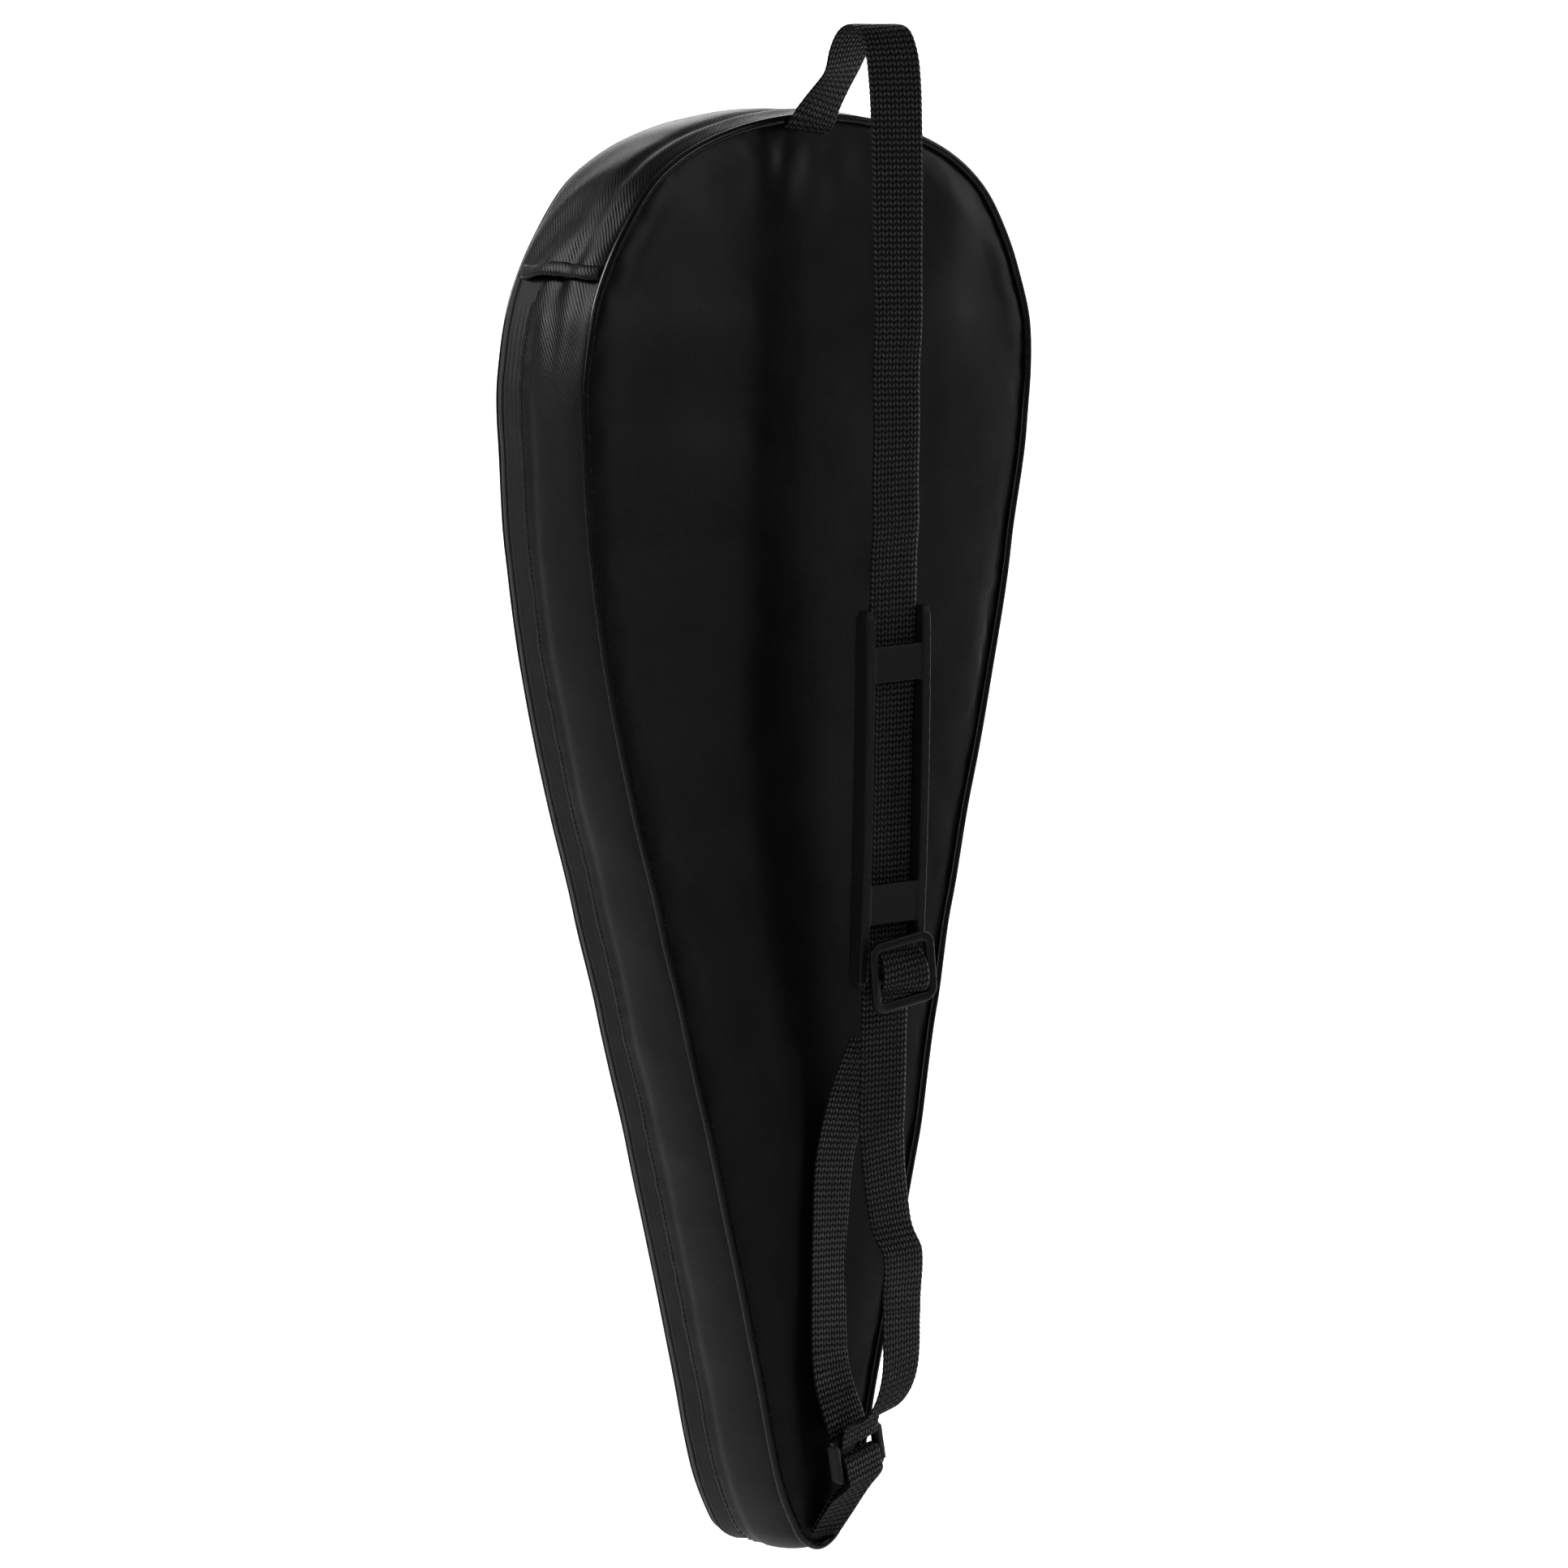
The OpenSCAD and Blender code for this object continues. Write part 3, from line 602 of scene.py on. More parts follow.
rl = panel("rear_lining_sheet", -28.3, 1, 6, 26, 5.0, lining_height)
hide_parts("rear_lining"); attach(rl, "case"); dress(rl, M_LINING); solidify(rl, 0.0006, 1.0)
fl = panel("front_lining_sheet", 28.3, -1, 6, 26, 9.0, lining_height)
dress(fl, M_LINING); solidify(fl, 0.0006, 1.0); apply_mods(fl)
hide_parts("front_lining", "front_flap_lining"); blend_flap(fl)


# ------------------------------------------------------------------ side bands
def u_frac(u, a, b):
    return (u - a) / (b - a)


def band(name, u0, u1, y0, y1, nu, nv, bulge, detail, inset=0.0, sign=1.0, hem=False):
    rows, mm = [], []
    for i in range(nu + 1):
        u = u0 + (u1 - u0) * i / nu
        px, pz = P(u); nx, nzv = N(u)
        row, mr = [], []
        for j in range(nv + 1):
            t = j / nv
            y = y0 + (y1 - y0) * t
            h = bulge(u, t) + detail(u, t, y)
            h = h * sign - inset
            row.append(C(px + nx * h, y + bow(pz), pz + nzv * h)); mr.append((u, y, 0))
        if hem:
            for dy, dh in ((0.5, -0.25), (0.45, -0.8), (-0.3, -1.25), (-1.6, -1.4), (-4.0, -1.5)):
                h = bulge(u, 1) + detail(u, 1, y1) + dh - inset
                row.append(C(px + nx * h, y1 + dy + bow(pz), pz + nzv * h)); mr.append((u, y1 + dy, 0))
        rows.append(row); mm.append(mr)
    o = grid(name, rows, mm)
    bm = bmesh.new(); bm.from_mesh(o.data)
    bmesh.ops.recalc_face_normals(bm, faces=bm.faces)
    # outward: check one face against the outline's normal
    bm.faces.ensure_lookup_table()
    f = bm.faces[len(bm.faces) // 2]; c = f.calc_center_median()
    if (f.normal.x * (c.x - X0) + f.normal.z * (c.z - Z0 - 0.35)) * sign < 0:
        bmesh.ops.reverse_faces(bm, faces=bm.faces)
    bm.to_mesh(o.data); bm.free()
    return smooth_mesh(o)


def zip_bulge(u, t):
    # full near the rear seam, flatter towards the zip's hem
    end = min(1.0, (u - UA) / 26, (L + UZ - u) / 20)
    end = max(0.0, end); end = end * end * (3 - 2 * end)
    return (4.9 * (math.sin(math.pi * min(1.0, 0.002 + t * 0.83)) ** 0.55)) * (0.45 + 0.55 * end)


def zip_detail(u, t, y):
    g = 0.7 * nz(u, y, 3.0, 40) + 0.35 * nz(u, y * 0.4, 8.0, 17)
    pk = math.exp(-(1 - t) * 48 / 6.5)
    g += 0.75 * pk * nz(u, 0, 21.0, 6.5)
    pk2 = math.exp(-t * 48 / 5.0)
    g += 0.5 * pk2 * nz(u, 5, 33.0, 8.0) * min(1, t * 12)
    # gathers that run down from the seam at the zip's upper end
    s = (u - UA)
    if s < 130:
        g += (1.25 * math.exp(-s / 36)) * math.sin(math.pi * t) ** 0.7 * math.sin(y / 3.3 + s / 26 + 1.6 * nz(u, y, 2, 30))
    # a long soft crease beside the hem
    g -= 0.55 * math.exp(-((t - 0.80 - 0.04 * nz(u, 0, 0, 120)) / 0.07) ** 2)
    return g * smooth01(t * 48 / 7.0)


ZB_Y1 = 14.0
zb = band("zip_band_skin", UA + 1.0, L + UZ, -33.9, ZB_Y1, int((L + UZ - UA) / 2.4), 24, zip_bulge, zip_detail, hem=True)
solidify(zb, 0.0011)
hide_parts("zip_band", "zip_band_foam"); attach(zb, "case"); dress(zb, M_BAND)


def top_bulge(u, t):
    s = max(0.0, UA - u)
    full = 1.0 + 0.35 * math.exp(-s / 45)
    return 5.3 * full * math.sin(math.pi * min(0.998, max(0.002, t))) ** 0.42


def top_detail(u, t, y):
    g = 0.7 * nz(u, y, 13.0, 44) + 0.35 * nz(u, y * 0.5, 18.0, 18)
    s = UA - u                                       # distance before the left seam
    # a fold ridge that runs beside the rear piping over the shoulder
    r = math.exp(-((s - 150) / 130) ** 2)
    g += 1.0 * r * math.exp(-((t - 0.20 - 0.02 * math.sin(u / 40)) / 0.05) ** 2)
    g -= 2.2 * r * math.exp(-((t - 0.31 - 0.02 * math.sin(u / 40)) / 0.06) ** 2)
    # diagonal drag lines that end at the seam
    if s < 120:
        g += 1.2 * math.exp(-s / 42) * math.sin(math.pi * t) ** 0.7 * math.sin((y * 0.9 + s * 0.62) / 4.8 + 1.4 * nz(u, y, 4, 26))
    g += 0.5 * math.exp(-t * 67 / 5.0) * nz(u, 5, 3.0, 8.0) * min(1, t * 14)
    g += 0.5 * math.exp(-(1 - t) * 67 / 5.0) * nz(u, 5, 9.0, 8.0) * min(1, (1 - t) * 14)
    return g * smooth01(t * 67 / 7.0) * smooth01((1 - t) * 67 / 7.0)


tb = band("top_band_skin", UZ, UA + 1.0, -33.9, 33.9, int((UA - UZ) / 2.6), 30, top_bulge, top_detail)
solidify(tb, 0.0011)
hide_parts("top_band", "top_band_foam"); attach(tb, "case"); dress(tb, M_BAND)

# linings of the two bands, inside
zl = band("zip_band_lining", UA + 2, L + UZ - 1, -28.5, 9.5, int(ZIP_LEN / 6), 8, lambda u, t: 0.0, lambda u, t, y: 0.5 * nz(u, y, 1, 25), inset=4.9, sign=1.0)
solidify(zl, 0.0006, 0.0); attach(zl, "case"); dress(zl, M_LINING)
tl = band("top_band_lining", UZ, UA + 1, -28.5, 28.5, int((UA - UZ) / 6), 10, lambda u, t: 0.0, lambda u, t, y: 0.5 * nz(u, y, 6, 25), inset=4.9)
solidify(tl, 0.0006, 0.0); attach(tl, "case"); dress(tl, M_LINING)

# ------------------------------------------------------------------ piping


def ring_path(out, y, u0, u1, n):
    pts = []
    for i in range(n):
        u = u0 + (u1 - u0) * i / n
        px, pz = P(u); nx, nzv = N(u)
        w = 0.15 * nz(u, y, 0, 40)
        pts.append(C(px + nx * (out + w), y + bow(pz) + 0.15 * nz(u, y, 9, 22), pz + nzv * (out + w)))
    return pts


rp = tube("rear_piping_cord", ring_path(0.9, -34.9, 0, L, 900), 0.0022, 14, closed=True)
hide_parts("rear_piping"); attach(rp, "case"); dress(rp, M_PIPE)
fp = tube("front_piping_cord", ring_path(-0.5, 34.2, 0, L, 640), 0.0016, 12, closed=True)
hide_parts("front_piping", "front_flap_piping"); dress(fp, M_PIPE); blend_flap(fp)
rb = tube("rear_binding_tape", ring_path(-3.0, -31.6, 0, L, 360), 0.0016, 8, closed=True, squash=0.6)
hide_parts("rear_seam_binding"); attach(rb, "case"); dress(rb, M_BIND)
fb = tube("front_binding_tape", ring_path(-3.2, 31.6, 0, L, 360), 0.0014, 8, closed=True, squash=0.6)
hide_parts("front_seam_binding", "front_flap_binding"); dress(fb, M_BIND); blend_flap(fb)

# ------------------------------------------------------------------ zip
ZY = 26.5


def flat_band(name, u0, u1, y0, y1, depth, nu, nv, wob=0.25):
    rows, mm = [], []
    for i in range(nu + 1):
        u = u0 + (u1 - u0) * i / nu
        px, pz = P(u); nx, nzv = N(u)
        row, mr = [], []
        for j in range(nv + 1):
            t = j / nv; y = y0 + (y1 - y0) * t
            h = depth(t) + wob * nz(u, y, 2, 12)
            row.append(C(px + nx * h, y + bow(pz), pz + nzv * h)); mr.append((u, y, 0))
        rows.append(row); mm.append(mr)
    return fix_normals(grid(name, rows, mm))


tr_ = flat_band("zip_tape_rear_half", UA + 1, L + UZ, 8.5, 26.1, lambda t: 1.2 + 1.9 * t, int(ZIP_LEN / 2.2), 10)
solidify(tr_, 0.0007, 0.0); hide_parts("zip_tape_rear"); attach(tr_, "case"); dress(tr_, M_TAPE)
tf = flat_band("zip_tape_front_half", UA + 1, L + UZ, 26.9, 33.6, lambda t: 3.0 - 3.0 * t * t, int(ZIP_LEN / 2.2), 6)
solidify(tf, 0.0007, 0.0); apply_mods(tf); dress(tf, M_TAPE)
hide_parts("zip_tape_front", "zip_tape_front_end"); blend_flap(tf)


def coil(name, u0, u1, side):
    """One row of the zip's coil: bent links, pitch 1.9 mm, that reach to the centre line."""
    verts, faces, mm = [], [], []
    n = int((u1 - u0) / 1.9)
    prof = [(-2.6, 0.0), (-1.6, 0.75), (-0.2, 0.85), (0.75, 0.45), (0.95, -0.1), (0.6, -0.65), (-0.6, -0.75), (-2.2, -0.5)]
    for i in range(n):
        u = u0 + (i + (0.5 if side > 0 else 0.0)) * 1.9
        px, pz = P(u); nx, nzv = N(u); tx, tz = T(u)
        b = len(verts)
        for s in (-1, 1):
            for k, (a, h) in enumerate(prof):
                y = ZY - side * a * -1.0 if False else ZY + side * (-a)
                for r in (0.42,):
                    du = s * r * (1.0 if 0 < k < 6 else 0.7)
                    hh = 1.55 + h * 0.9
                    verts.append(C(px + nx * hh + tx * du, y + bow(pz), pz + nzv * hh + tz * du)); mm.append((u, y, 0))
        m = len(prof)
        for k in range(m - 1):
            faces.append((b + k, b + k + 1, b + m + k + 1, b + m + k))
        faces.append((b + m - 1, b, b + m, b + 2 * m - 1))
        faces.append(tuple(b + k for k in reversed(range(m))))
        faces.append(tuple(b + m + k for k in range(m)))
    o = make_mesh(name, verts, faces, mm)
    bm = bmesh.new(); bm.from_mesh(o.data); bmesh.ops.recalc_face_normals(bm, faces=bm.faces); bm.to_mesh(o.data); bm.free()
    return o


c1 = coil("zip_coil_rear_row", UA + 6, L + UZ - 3, 1)
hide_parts("zip_coil_rear"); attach(c1, "case"); dress(c1, M_COIL)
c2 = coil("zip_coil_front_row", UA + 6, L + UZ - 3, -1)
dress(c2, M_COIL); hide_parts("zip_coil_front", "zip_coil_front_end"); blend_flap(c2)

for nme in ("zip_end_stops", "zip_slider", "zip_pull"):
    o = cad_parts[nme]
    o.data.materials.clear(); o.data.materials.append(M_METAL)
    bv = o.modifiers.new("edges", "BEVEL"); bv.width = 0.0003; bv.segments = 2; bv.limit_method = "ANGLE"


# ------------------------------------------------------------------ stitches
def stitches(name, places, ln, r, body, mat=None, blend=False):
    """Small rounded stitches: each place is (point, direction, normal)."""
    verts, faces, mm = [], [], []
    seg, rings = 6, [(-0.5, 0.35), (-0.32, 0.95), (0.0, 1.1), (0.32, 0.95), (0.5, 0.35)]
    for p, d, nrm in places:
        d = d.normalized(); s = d.cross(nrm).normalized(); w = s.cross(d)
        b = len(verts)
        for t, k in rings:
            for a in range(seg):
                an = 2 * math.pi * a / seg
                verts.append(p + d * (t * ln) + s * (r * k * math.cos(an)) + w * (r * k * math.sin(an)))
                mm.append((t * ln * 1000, an, 0))
        for i in range(len(rings) - 1):
            for a in range(seg):
                q, q2 = b + i * seg + a, b + i * seg + (a + 1) % seg
                faces.append((q, q2, q2 + seg, q + seg))
        faces.append(tuple(b + a for a in reversed(range(seg))))
        e = b + (len(rings) - 1) * seg
        faces.append(tuple(e + a for a in range(seg)))
    o = make_mesh(name, verts, faces, mm)
    bm = bmesh.new(); bm.from_mesh(o.data); bmesh.ops.recalc_face_normals(bm, faces=bm.faces); bm.to_mesh(o.data); bm.free()
    dress(o, mat or M_THREAD)
    if not blend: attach(o, body)
    return o


pl = []
u = UA + 6
while u < L + UZ - 2:
    px, pz = P(u); nx, nzv = N(u); tx, tz = T(u)
    t = (ZB_Y1 - 2.3 + 33.9) / (ZB_Y1 + 33.9)
    h = zip_bulge(u, t) + zip_detail(u, t, ZB_Y1 - 2.3) + 0.12
    pl.append((C(px + nx * h, ZB_Y1 - 2.3 + bow(pz), pz + nzv * h), Vector((tx, 0, tz)), Vector((nx, 0, nzv))))
    u += 3.0
stitches("zip_hem_stitches", pl, 0.0024, 0.00032, "case")


# ------------------------------------------------------------------ raised seams between the bands
def welt(name, u, y0, y1, width, bulge, detail, t_of, body="case"):
    rows, mm = [], []
    n = 34
    prof = [(-1.0, -0.5), (-0.92, 0.5), (-0.6, 1.15), (-0.1, 1.4), (0.4, 1.25), (0.75, 0.9), (0.9, 0.1), (1.0, -0.6)]
    for i in range(n + 1):
        t = i / n; y = y0 + (y1 - y0) * t
        wv = 0.6 * math.sin(t * 9.0) + 0.8 * nz(y, 3, u, 10)
        row, mr = [], []
        for a, hh in prof:
            uu = u + a * width / 2 + wv
            px, pz = P(uu); nx, nzv = N(uu)
            h = bulge(uu, t_of(y)) + detail(uu, t_of(y), y) * 0.6 + hh
            row.append(C(px + nx * h, y + bow(pz), pz + nzv * h)); mr.append((uu, y, 0))
        rows.append(row); mm.append(mr)
    o = fix_normals(grid(name, rows, mm))
    return o


wl = welt("band_seam_left_welt", UA - 1.5, -33.2, 26.0, 7.5, top_bulge, top_detail, lambda y: (y + 33.9) / 67.8)
solidify(wl, 0.0008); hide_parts("band_seam_left"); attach(wl, "case"); dress(wl, M_BAND)
wr = welt("band_seam_right_welt", UZ + 3, -33.2, 33.2, 7.5, top_bulge, top_detail, lambda y: (y + 33.9) / 67.8)
solidify(wr, 0.0008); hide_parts("band_seam_right"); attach(wr, "case"); dress(wr, M_BAND)

# ------------------------------------------------------------------ strap
RT, RX, RY = (0.0, -95.0, 560.0), math.radians(5.3), math.radians(-3.0)
RU = (math.cos(RX) * math.sin(RY), -math.sin(RX), math.cos(RX) * math.cos(RY))
R_RUN = Matrix.Rotation(RY, 3, "Y") @ Matrix.Rotation(RX, 3, "X")


def run(x, y, z):
    """A point in the straight run's own frame, in case mm."""
    v = R_RUN @ Vector((x, y, z))
    return Vector(RT) + v


def RUNC(x, y, z):
    v = run(x, y, z)
    return C(v.x, v.y, v.z)


YAW, ROLL, RH = math.radians(12), math.radians(13), 19.0
RING_TOP = Vector((10, -51, 56))
R_RING = Matrix.Rotation(YAW, 3, "Z") @ Matrix.Rotation(-ROLL, 3, "Y")
RB = R_RING @ Vector((1, 0, 0)); RUP = R_RING @ Vector((0, 0, 1)); RE = R_RING @ Vector((0, -1, 0))
RING_LOW = RING_TOP - RUP * RH


def RINGC(x, y, z):
    v = RING_LOW + R_RING @ Vector((x, y, z))
    return C(v.x, v.y, v.z)


def about(c, a, r):
    v = c + RE * (r * math.cos(math.radians(a))) + RUP * (r * math.sin(math.radians(a)))
    return (v.x, v.y, v.z, 12.0, 13.0)


def run_pt(t):
    return (RT[0] + RU[0] * t, RT[1] + RU[1] * t, RT[2] + RU[2] * t, 0.0, 3.0)


ARCH = [(0, -38.3, 694, 0, 0), (0, -38.5, 707, 0, 0), (0, -40.9, 718, 6, 0), (0, -46.5, 728, 14, 0), (0, -53, 739, 16, 0), (0, -60, 750.5, 8, 0),
        (0, -68.5, 758.5, -2, 0), (0, -77.5, 761.25, -8, 0), (0, -85.5, 758, -10, 0), (0, -90.8, 748, -10, 0), (0, -93.3, 735, -10, 0),
        (0, -94.8, 715, -8, 0), (0, -95.6, 675, -6, 0), (0, -95.8, 625, -3, 1)]
STRAND_TOP = [(19, -62, 206, 3, 5), (22.5, -61, 180, 6, 8), (25.5, -64, 146, 10, 12), (26.6, -67.5, 118, 12, 10)]
STRAND_LOW = [(26.2, -68.6, 98, 12, 9), (24.8, -68.2, 85, 12, 9), (21.6, -66.4, 74.5, 12, 11), (17.2, -62.8, 67.5, 12, 12)]
LR = 2.2 + 0.6 + 0.75
LOOP = [about(RING_TOP + RB * 2.5 + RUP * 8.5, 0, LR + 2.6), about(RING_TOP + RB * 0.9 + RUP * 4, 0, LR + 0.8), about(RING_TOP, 0, LR), about(RING_TOP, 325, LR),
        about(RING_TOP, 290, LR), about(RING_TOP, 250, LR), about(RING_TOP, 215, LR), about(RING_TOP, 180, LR),
        about(RING_TOP - RB * 0.3 + RUP * 4, 180, LR), about(RING_TOP - RB * 1 + RUP * 8.5, 180, LR)]
RETURN_LOW = [(3.8, -46.2, 74, 12, 9), (1.2, -44.4, 86, 13, 6), (0.3, -43.3, 98, 14, 3)]
RETURN_TOP = [(1, -42, 125, 15, 0), (2, -41.6, 160, 14, 0), (4.5, -42.5, 195, 10, 2), (9, -49, 228, 5, 3), (13.5, -60, 256, 1, 3)]
ARCH = [(-8, -34.6, 709, 0, -5), (-7.2, -39.2, 713.6, 3, -6), (-5.2, -42.0, 720.0, 9, -6), (-2.2, -46.5, 729, 14, -3)] + ARCH[4:]
FRONT_ALL = ARCH + [run_pt(-68 * k) for k in range(6)] + STRAND_TOP


def spline(c, step):
    """A smooth line through the points, about step mm apart, each (x, y, z, yaw, roll)."""
    out = []
    for i in range(len(c) - 1):
        a = [2 * p - q for p, q in zip(c[0], c[1])] if i == 0 else c[i - 1]
        d = [2 * p - q for p, q in zip(c[-1], c[-2])] if i == len(c) - 2 else c[i + 2]
        ln = math.dist(c[i][:3], c[i + 1][:3])
        n = max(1, round(ln / step))
        for k in range(n):
            out.append(cr(a, c[i], c[i + 1], d, k / n))
    out.append(list(c[-1]))
    return out


def yarn_h(u, v):
    col = (v + 15) / (30 / 13)
    ci = math.floor(col); x = col - ci
    sl = 1 if ci % 2 else -1
    t = u / 3.0 + sl * 0.42 * (x - 0.5)
    return abs(math.sin(math.pi * t)) ** 0.6 * max(0.0, math.sin(math.pi * x)) ** 0.55


def webbing(name, ctrl, t0=None, t1=None, thick=1.5, half=15.0, step=1.0, u0=0.0, wobble=0.0, half_at=None, kink=None, cols=26, skew=False):
    q = spline(ctrl, step)
    m = len(q)
    verts, mm, faces = [], [], []
    u = u0
    js = [(-1 + 2 * j / cols) for j in range(cols + 1)]
    for i in range(m):
        p = Vector(q[i][:3])
        if i: u += (p - Vector(q[i - 1][:3])).length
        tan = Vector(t0) if (i == 0 and t0) else Vector(t1) if (i == m - 1 and t1) else Vector(q[min(i + 1, m - 1)][:3]) - Vector(q[max(i - 1, 0)][:3])
        tan.normalize()
        yw, rl_ = math.radians(q[i][3]), math.radians(q[i][4])
        w0 = Vector((math.cos(rl_) * math.cos(yw), math.cos(rl_) * math.sin(yw), math.sin(rl_)))
        ks = skew(i / (m - 1)) if callable(skew) else float(skew)
        w = (w0 - tan * (w0.dot(tan) * (1 - ks))).normalized()
        nn = tan.cross(w).normalized()
        hf = half_at(q[i]) if half_at else half
        off = kink(u, p) if kink else (0.0, 0.0)
        p = p + nn * off[0] + w * off[1]
        ring = []
        for side in (1, -1):
            for s in (js if side > 0 else reversed(js)):
                v = s * 15.0
                edge = max(0.0, 1 - ((abs(s)) ** 14))
                hgt = yarn_h(u if side > 0 else u + 1.5, v) * 0.36
                th = (thick / 2 - 0.22) * (0.45 + 0.55 * edge) + hgt * edge
                cup = wobble * nz(u, v * 0.3, u0, 28) * 1.0
                scal = 1.0 + (0.012 * math.sin(2 * math.pi * u / 3.0) if abs(s) > 0.99 else 0.0)
                verts.append(C(*(p + w * (s * hf * scal) + nn * (side * th + cup)))); mm.append((u, v if side > 0 else v + 60, 0))
        n_ = 2 * (cols + 1)
        if i:
            b = i * n_; a = b - n_
            for k in range(n_):
                k2 = (k + 1) % n_
                faces.append((a + k, a + k2, b + k2, b + k))
    n_ = 2 * (cols + 1)
    for b, rev in ((0, False), ((m - 1) * n_, True)):
        for k in range(cols):
            f = (b + k, b + k + 1, b + n_ - 2 - k, b + n_ - 1 - k)
            faces.append(f if not rev else tuple(reversed(f)))
    o = make_mesh(name, verts, faces, mm)
    bm = bmesh.new(); bm.from_mesh(o.data); bmesh.ops.recalc_face_normals(bm, faces=bm.faces); bm.to_mesh(o.data); bm.free()
    return o


J1 = Vector(STRAND_LOW[0][:3]) - Vector(FRONT_ALL[-2][:3])
J2 = Vector(RETURN_TOP[0][:3]) - Vector(RETURN_LOW[1][:3])


def strap_kink(u, p):
    """Small set bends in the free run, above the shoulder piece and low on the front strand."""
    z = p.z
    n = 0.0; w = 0.0
    n += 0.5 * math.exp(-((z - 516) / 9) ** 2) - 0.15 * math.exp(-((z - 536) / 11) ** 2)
    w += 0.35 * math.exp(-((z - 516) / 14) ** 2)
    n += 1.0 * math.exp(-((z - 600) / 30) ** 2) * math.sin(z / 12)
    n += 5.6 * math.exp(-((z - 147) / (9 if z > 147 else 20)) ** 2)
    return (n, w) if p.y < -58 else (0.0, 0.0)


s1 = webbing("strap_main_webbing", FRONT_ALL, t1=J1, kink=strap_kink, wobble=0.25)
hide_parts("strap_webbing"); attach(s1, "case"); dress(s1, M_WEB)
s2 = webbing("strap_ring_loop", [FRONT_ALL[-1]] + STRAND_LOW + LOOP + RETURN_LOW, t0=J1, t1=J2, step=0.8, u0=711.0, kink=strap_kink, skew=lambda f: smooth01(min(f, 1 - f) / 0.2))
dress(s2, M_WEB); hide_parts("strap_lower_loop")
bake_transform(s2)
s3 = webbing("strap_return_webbing", [RETURN_LOW[-1]] + RETURN_TOP, t0=J2, u0=840.0, wobble=0.3)
dress(s3, M_WEB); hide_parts("strap_return_run")
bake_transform(s3)

# webbing end, folded over the adjuster's middle bar; the adjuster sits a little rolled on the strap
AZ, AY = -252 - 18.6, -10.2 + 1.6
AR = math.radians(7)


def adj(x, y, z):
    """A point from the adjuster's centre, in the run's frame."""
    return (3 + x * math.cos(AR) - z * math.sin(AR), AY + y, AZ + x * math.sin(AR) + z * math.cos(AR))


wrap = []
for y, z in ((3.2, 15.8), (2.0, 12.4), (-0.2, 9.8), (-2.5, 6.8), (-3.8, 3.0), (-4.0, -1.2), (-3.2, -5.4), (-1.2, -8.8), (1.3, -11.4), (3.2, -14.6)):
    v = run(*adj(0, y, z))
    wrap.append((v.x, v.y, v.z, 0.0, 3.0 - 7.0))
s4 = webbing("adjuster_webbing_wrap", wrap, step=0.6, half=14.6, thick=1.4, wobble=0.1)
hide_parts("adjuster_webbing_end"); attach(s4, "adjuster"); dress(s4, M_WEB)

# tab
TR = 2.2 + 0.35 + 0.75
tab = [(0.5, -39.6, 5, 0, 0), (4.4, -43.9, 14.5, 4, 4), (9.3, -49.2, 25.5, 9, 9)] + [about(RING_LOW + RUP * d, 0, TR) for d in (-4, 2)] \
    + [about(RING_LOW + RUP * 7.5, a, TR) for a in (0, 45, 90, 135, 180)] + [about(RING_LOW + RUP * d, 180, TR) for d in (2, -4)] \
    + [(9.6, -45, 25.5, 9, 9), (5, -41.2, 14.8, 4, 4), (1, -37.8, 6.5, 1, 0)]
s5 = webbing("ring_tab_webbing", tab, step=0.8, thick=1.35, half_at=lambda q: 14.2 if q[2] > 26 else 14.2 - 5.5 * (26 - q[2]) / 22, skew=True, wobble=0.15)
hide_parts("ring_tab"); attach(s5, "case"); dress(s5, M_WEB)


# ------------------------------------------------------------------ moulded pieces: united, remeshed and smoothed
def box_verts(bm, c, size, mat3, place):
    vs = []
    for sx in (-1, 1):
        for sy in (-1, 1):
            for sz in (-1, 1):
                vs.append(bm.verts.new(place(c[0] + sx * size[0] / 2, c[1] + sy * size[1] / 2, c[2] + sz * size[2] / 2)))
    for f in ((0, 1, 3, 2), (4, 6, 7, 5), (0, 4, 5, 1), (2, 3, 7, 6), (0, 2, 6, 4), (1, 5, 7, 3)):
        bm.faces.new([vs[i] for i in f])


def cyl_verts(bm, c, axis, r, ln, place, seg=28, sy=1.0):
    rings = []
    for s in (-1, 1):
        ring = []
        for k in range(seg):
            a = 2 * math.pi * k / seg
            p = [c[0], c[1], c[2]]
            ax = {"x": 0, "y": 1, "z": 2}[axis]
            o1, o2 = [i for i in range(3) if i != ax]
            p[ax] += s * ln / 2; p[o1] += r * math.cos(a) * (sy if o1 == 1 else 1); p[o2] += r * math.sin(a) * (sy if o2 == 1 else 1)
            ring.append(bm.verts.new(place(*p)))
        rings.append(ring)
    for k in range(seg):
        bm.faces.new((rings[0][k], rings[0][(k + 1) % seg], rings[1][(k + 1) % seg], rings[1][k]))
    bm.faces.new(list(reversed(rings[0]))); bm.faces.new(rings[1])


def moulded(name, build, voxel, smooth, cuts=None):
    bm = bmesh.new(); build(bm)
    bmesh.ops.recalc_face_normals(bm, faces=bm.faces)
    me = bpy.data.meshes.new(name); bm.to_mesh(me); bm.free()
    o = bpy.data.objects.new(name, me); bpy.context.collection.objects.link(o)
    m = o.modifiers.new("r", "REMESH"); m.mode = "VOXEL"; m.voxel_size = voxel
    s = o.modifiers.new("s", "SMOOTH"); s.iterations = smooth; s.factor = 0.5
    apply_mods(o)
    return smooth_mesh(o)


SLOT, RAIL, PT, PL = 15.6, 5.2, -88.0, 190.0


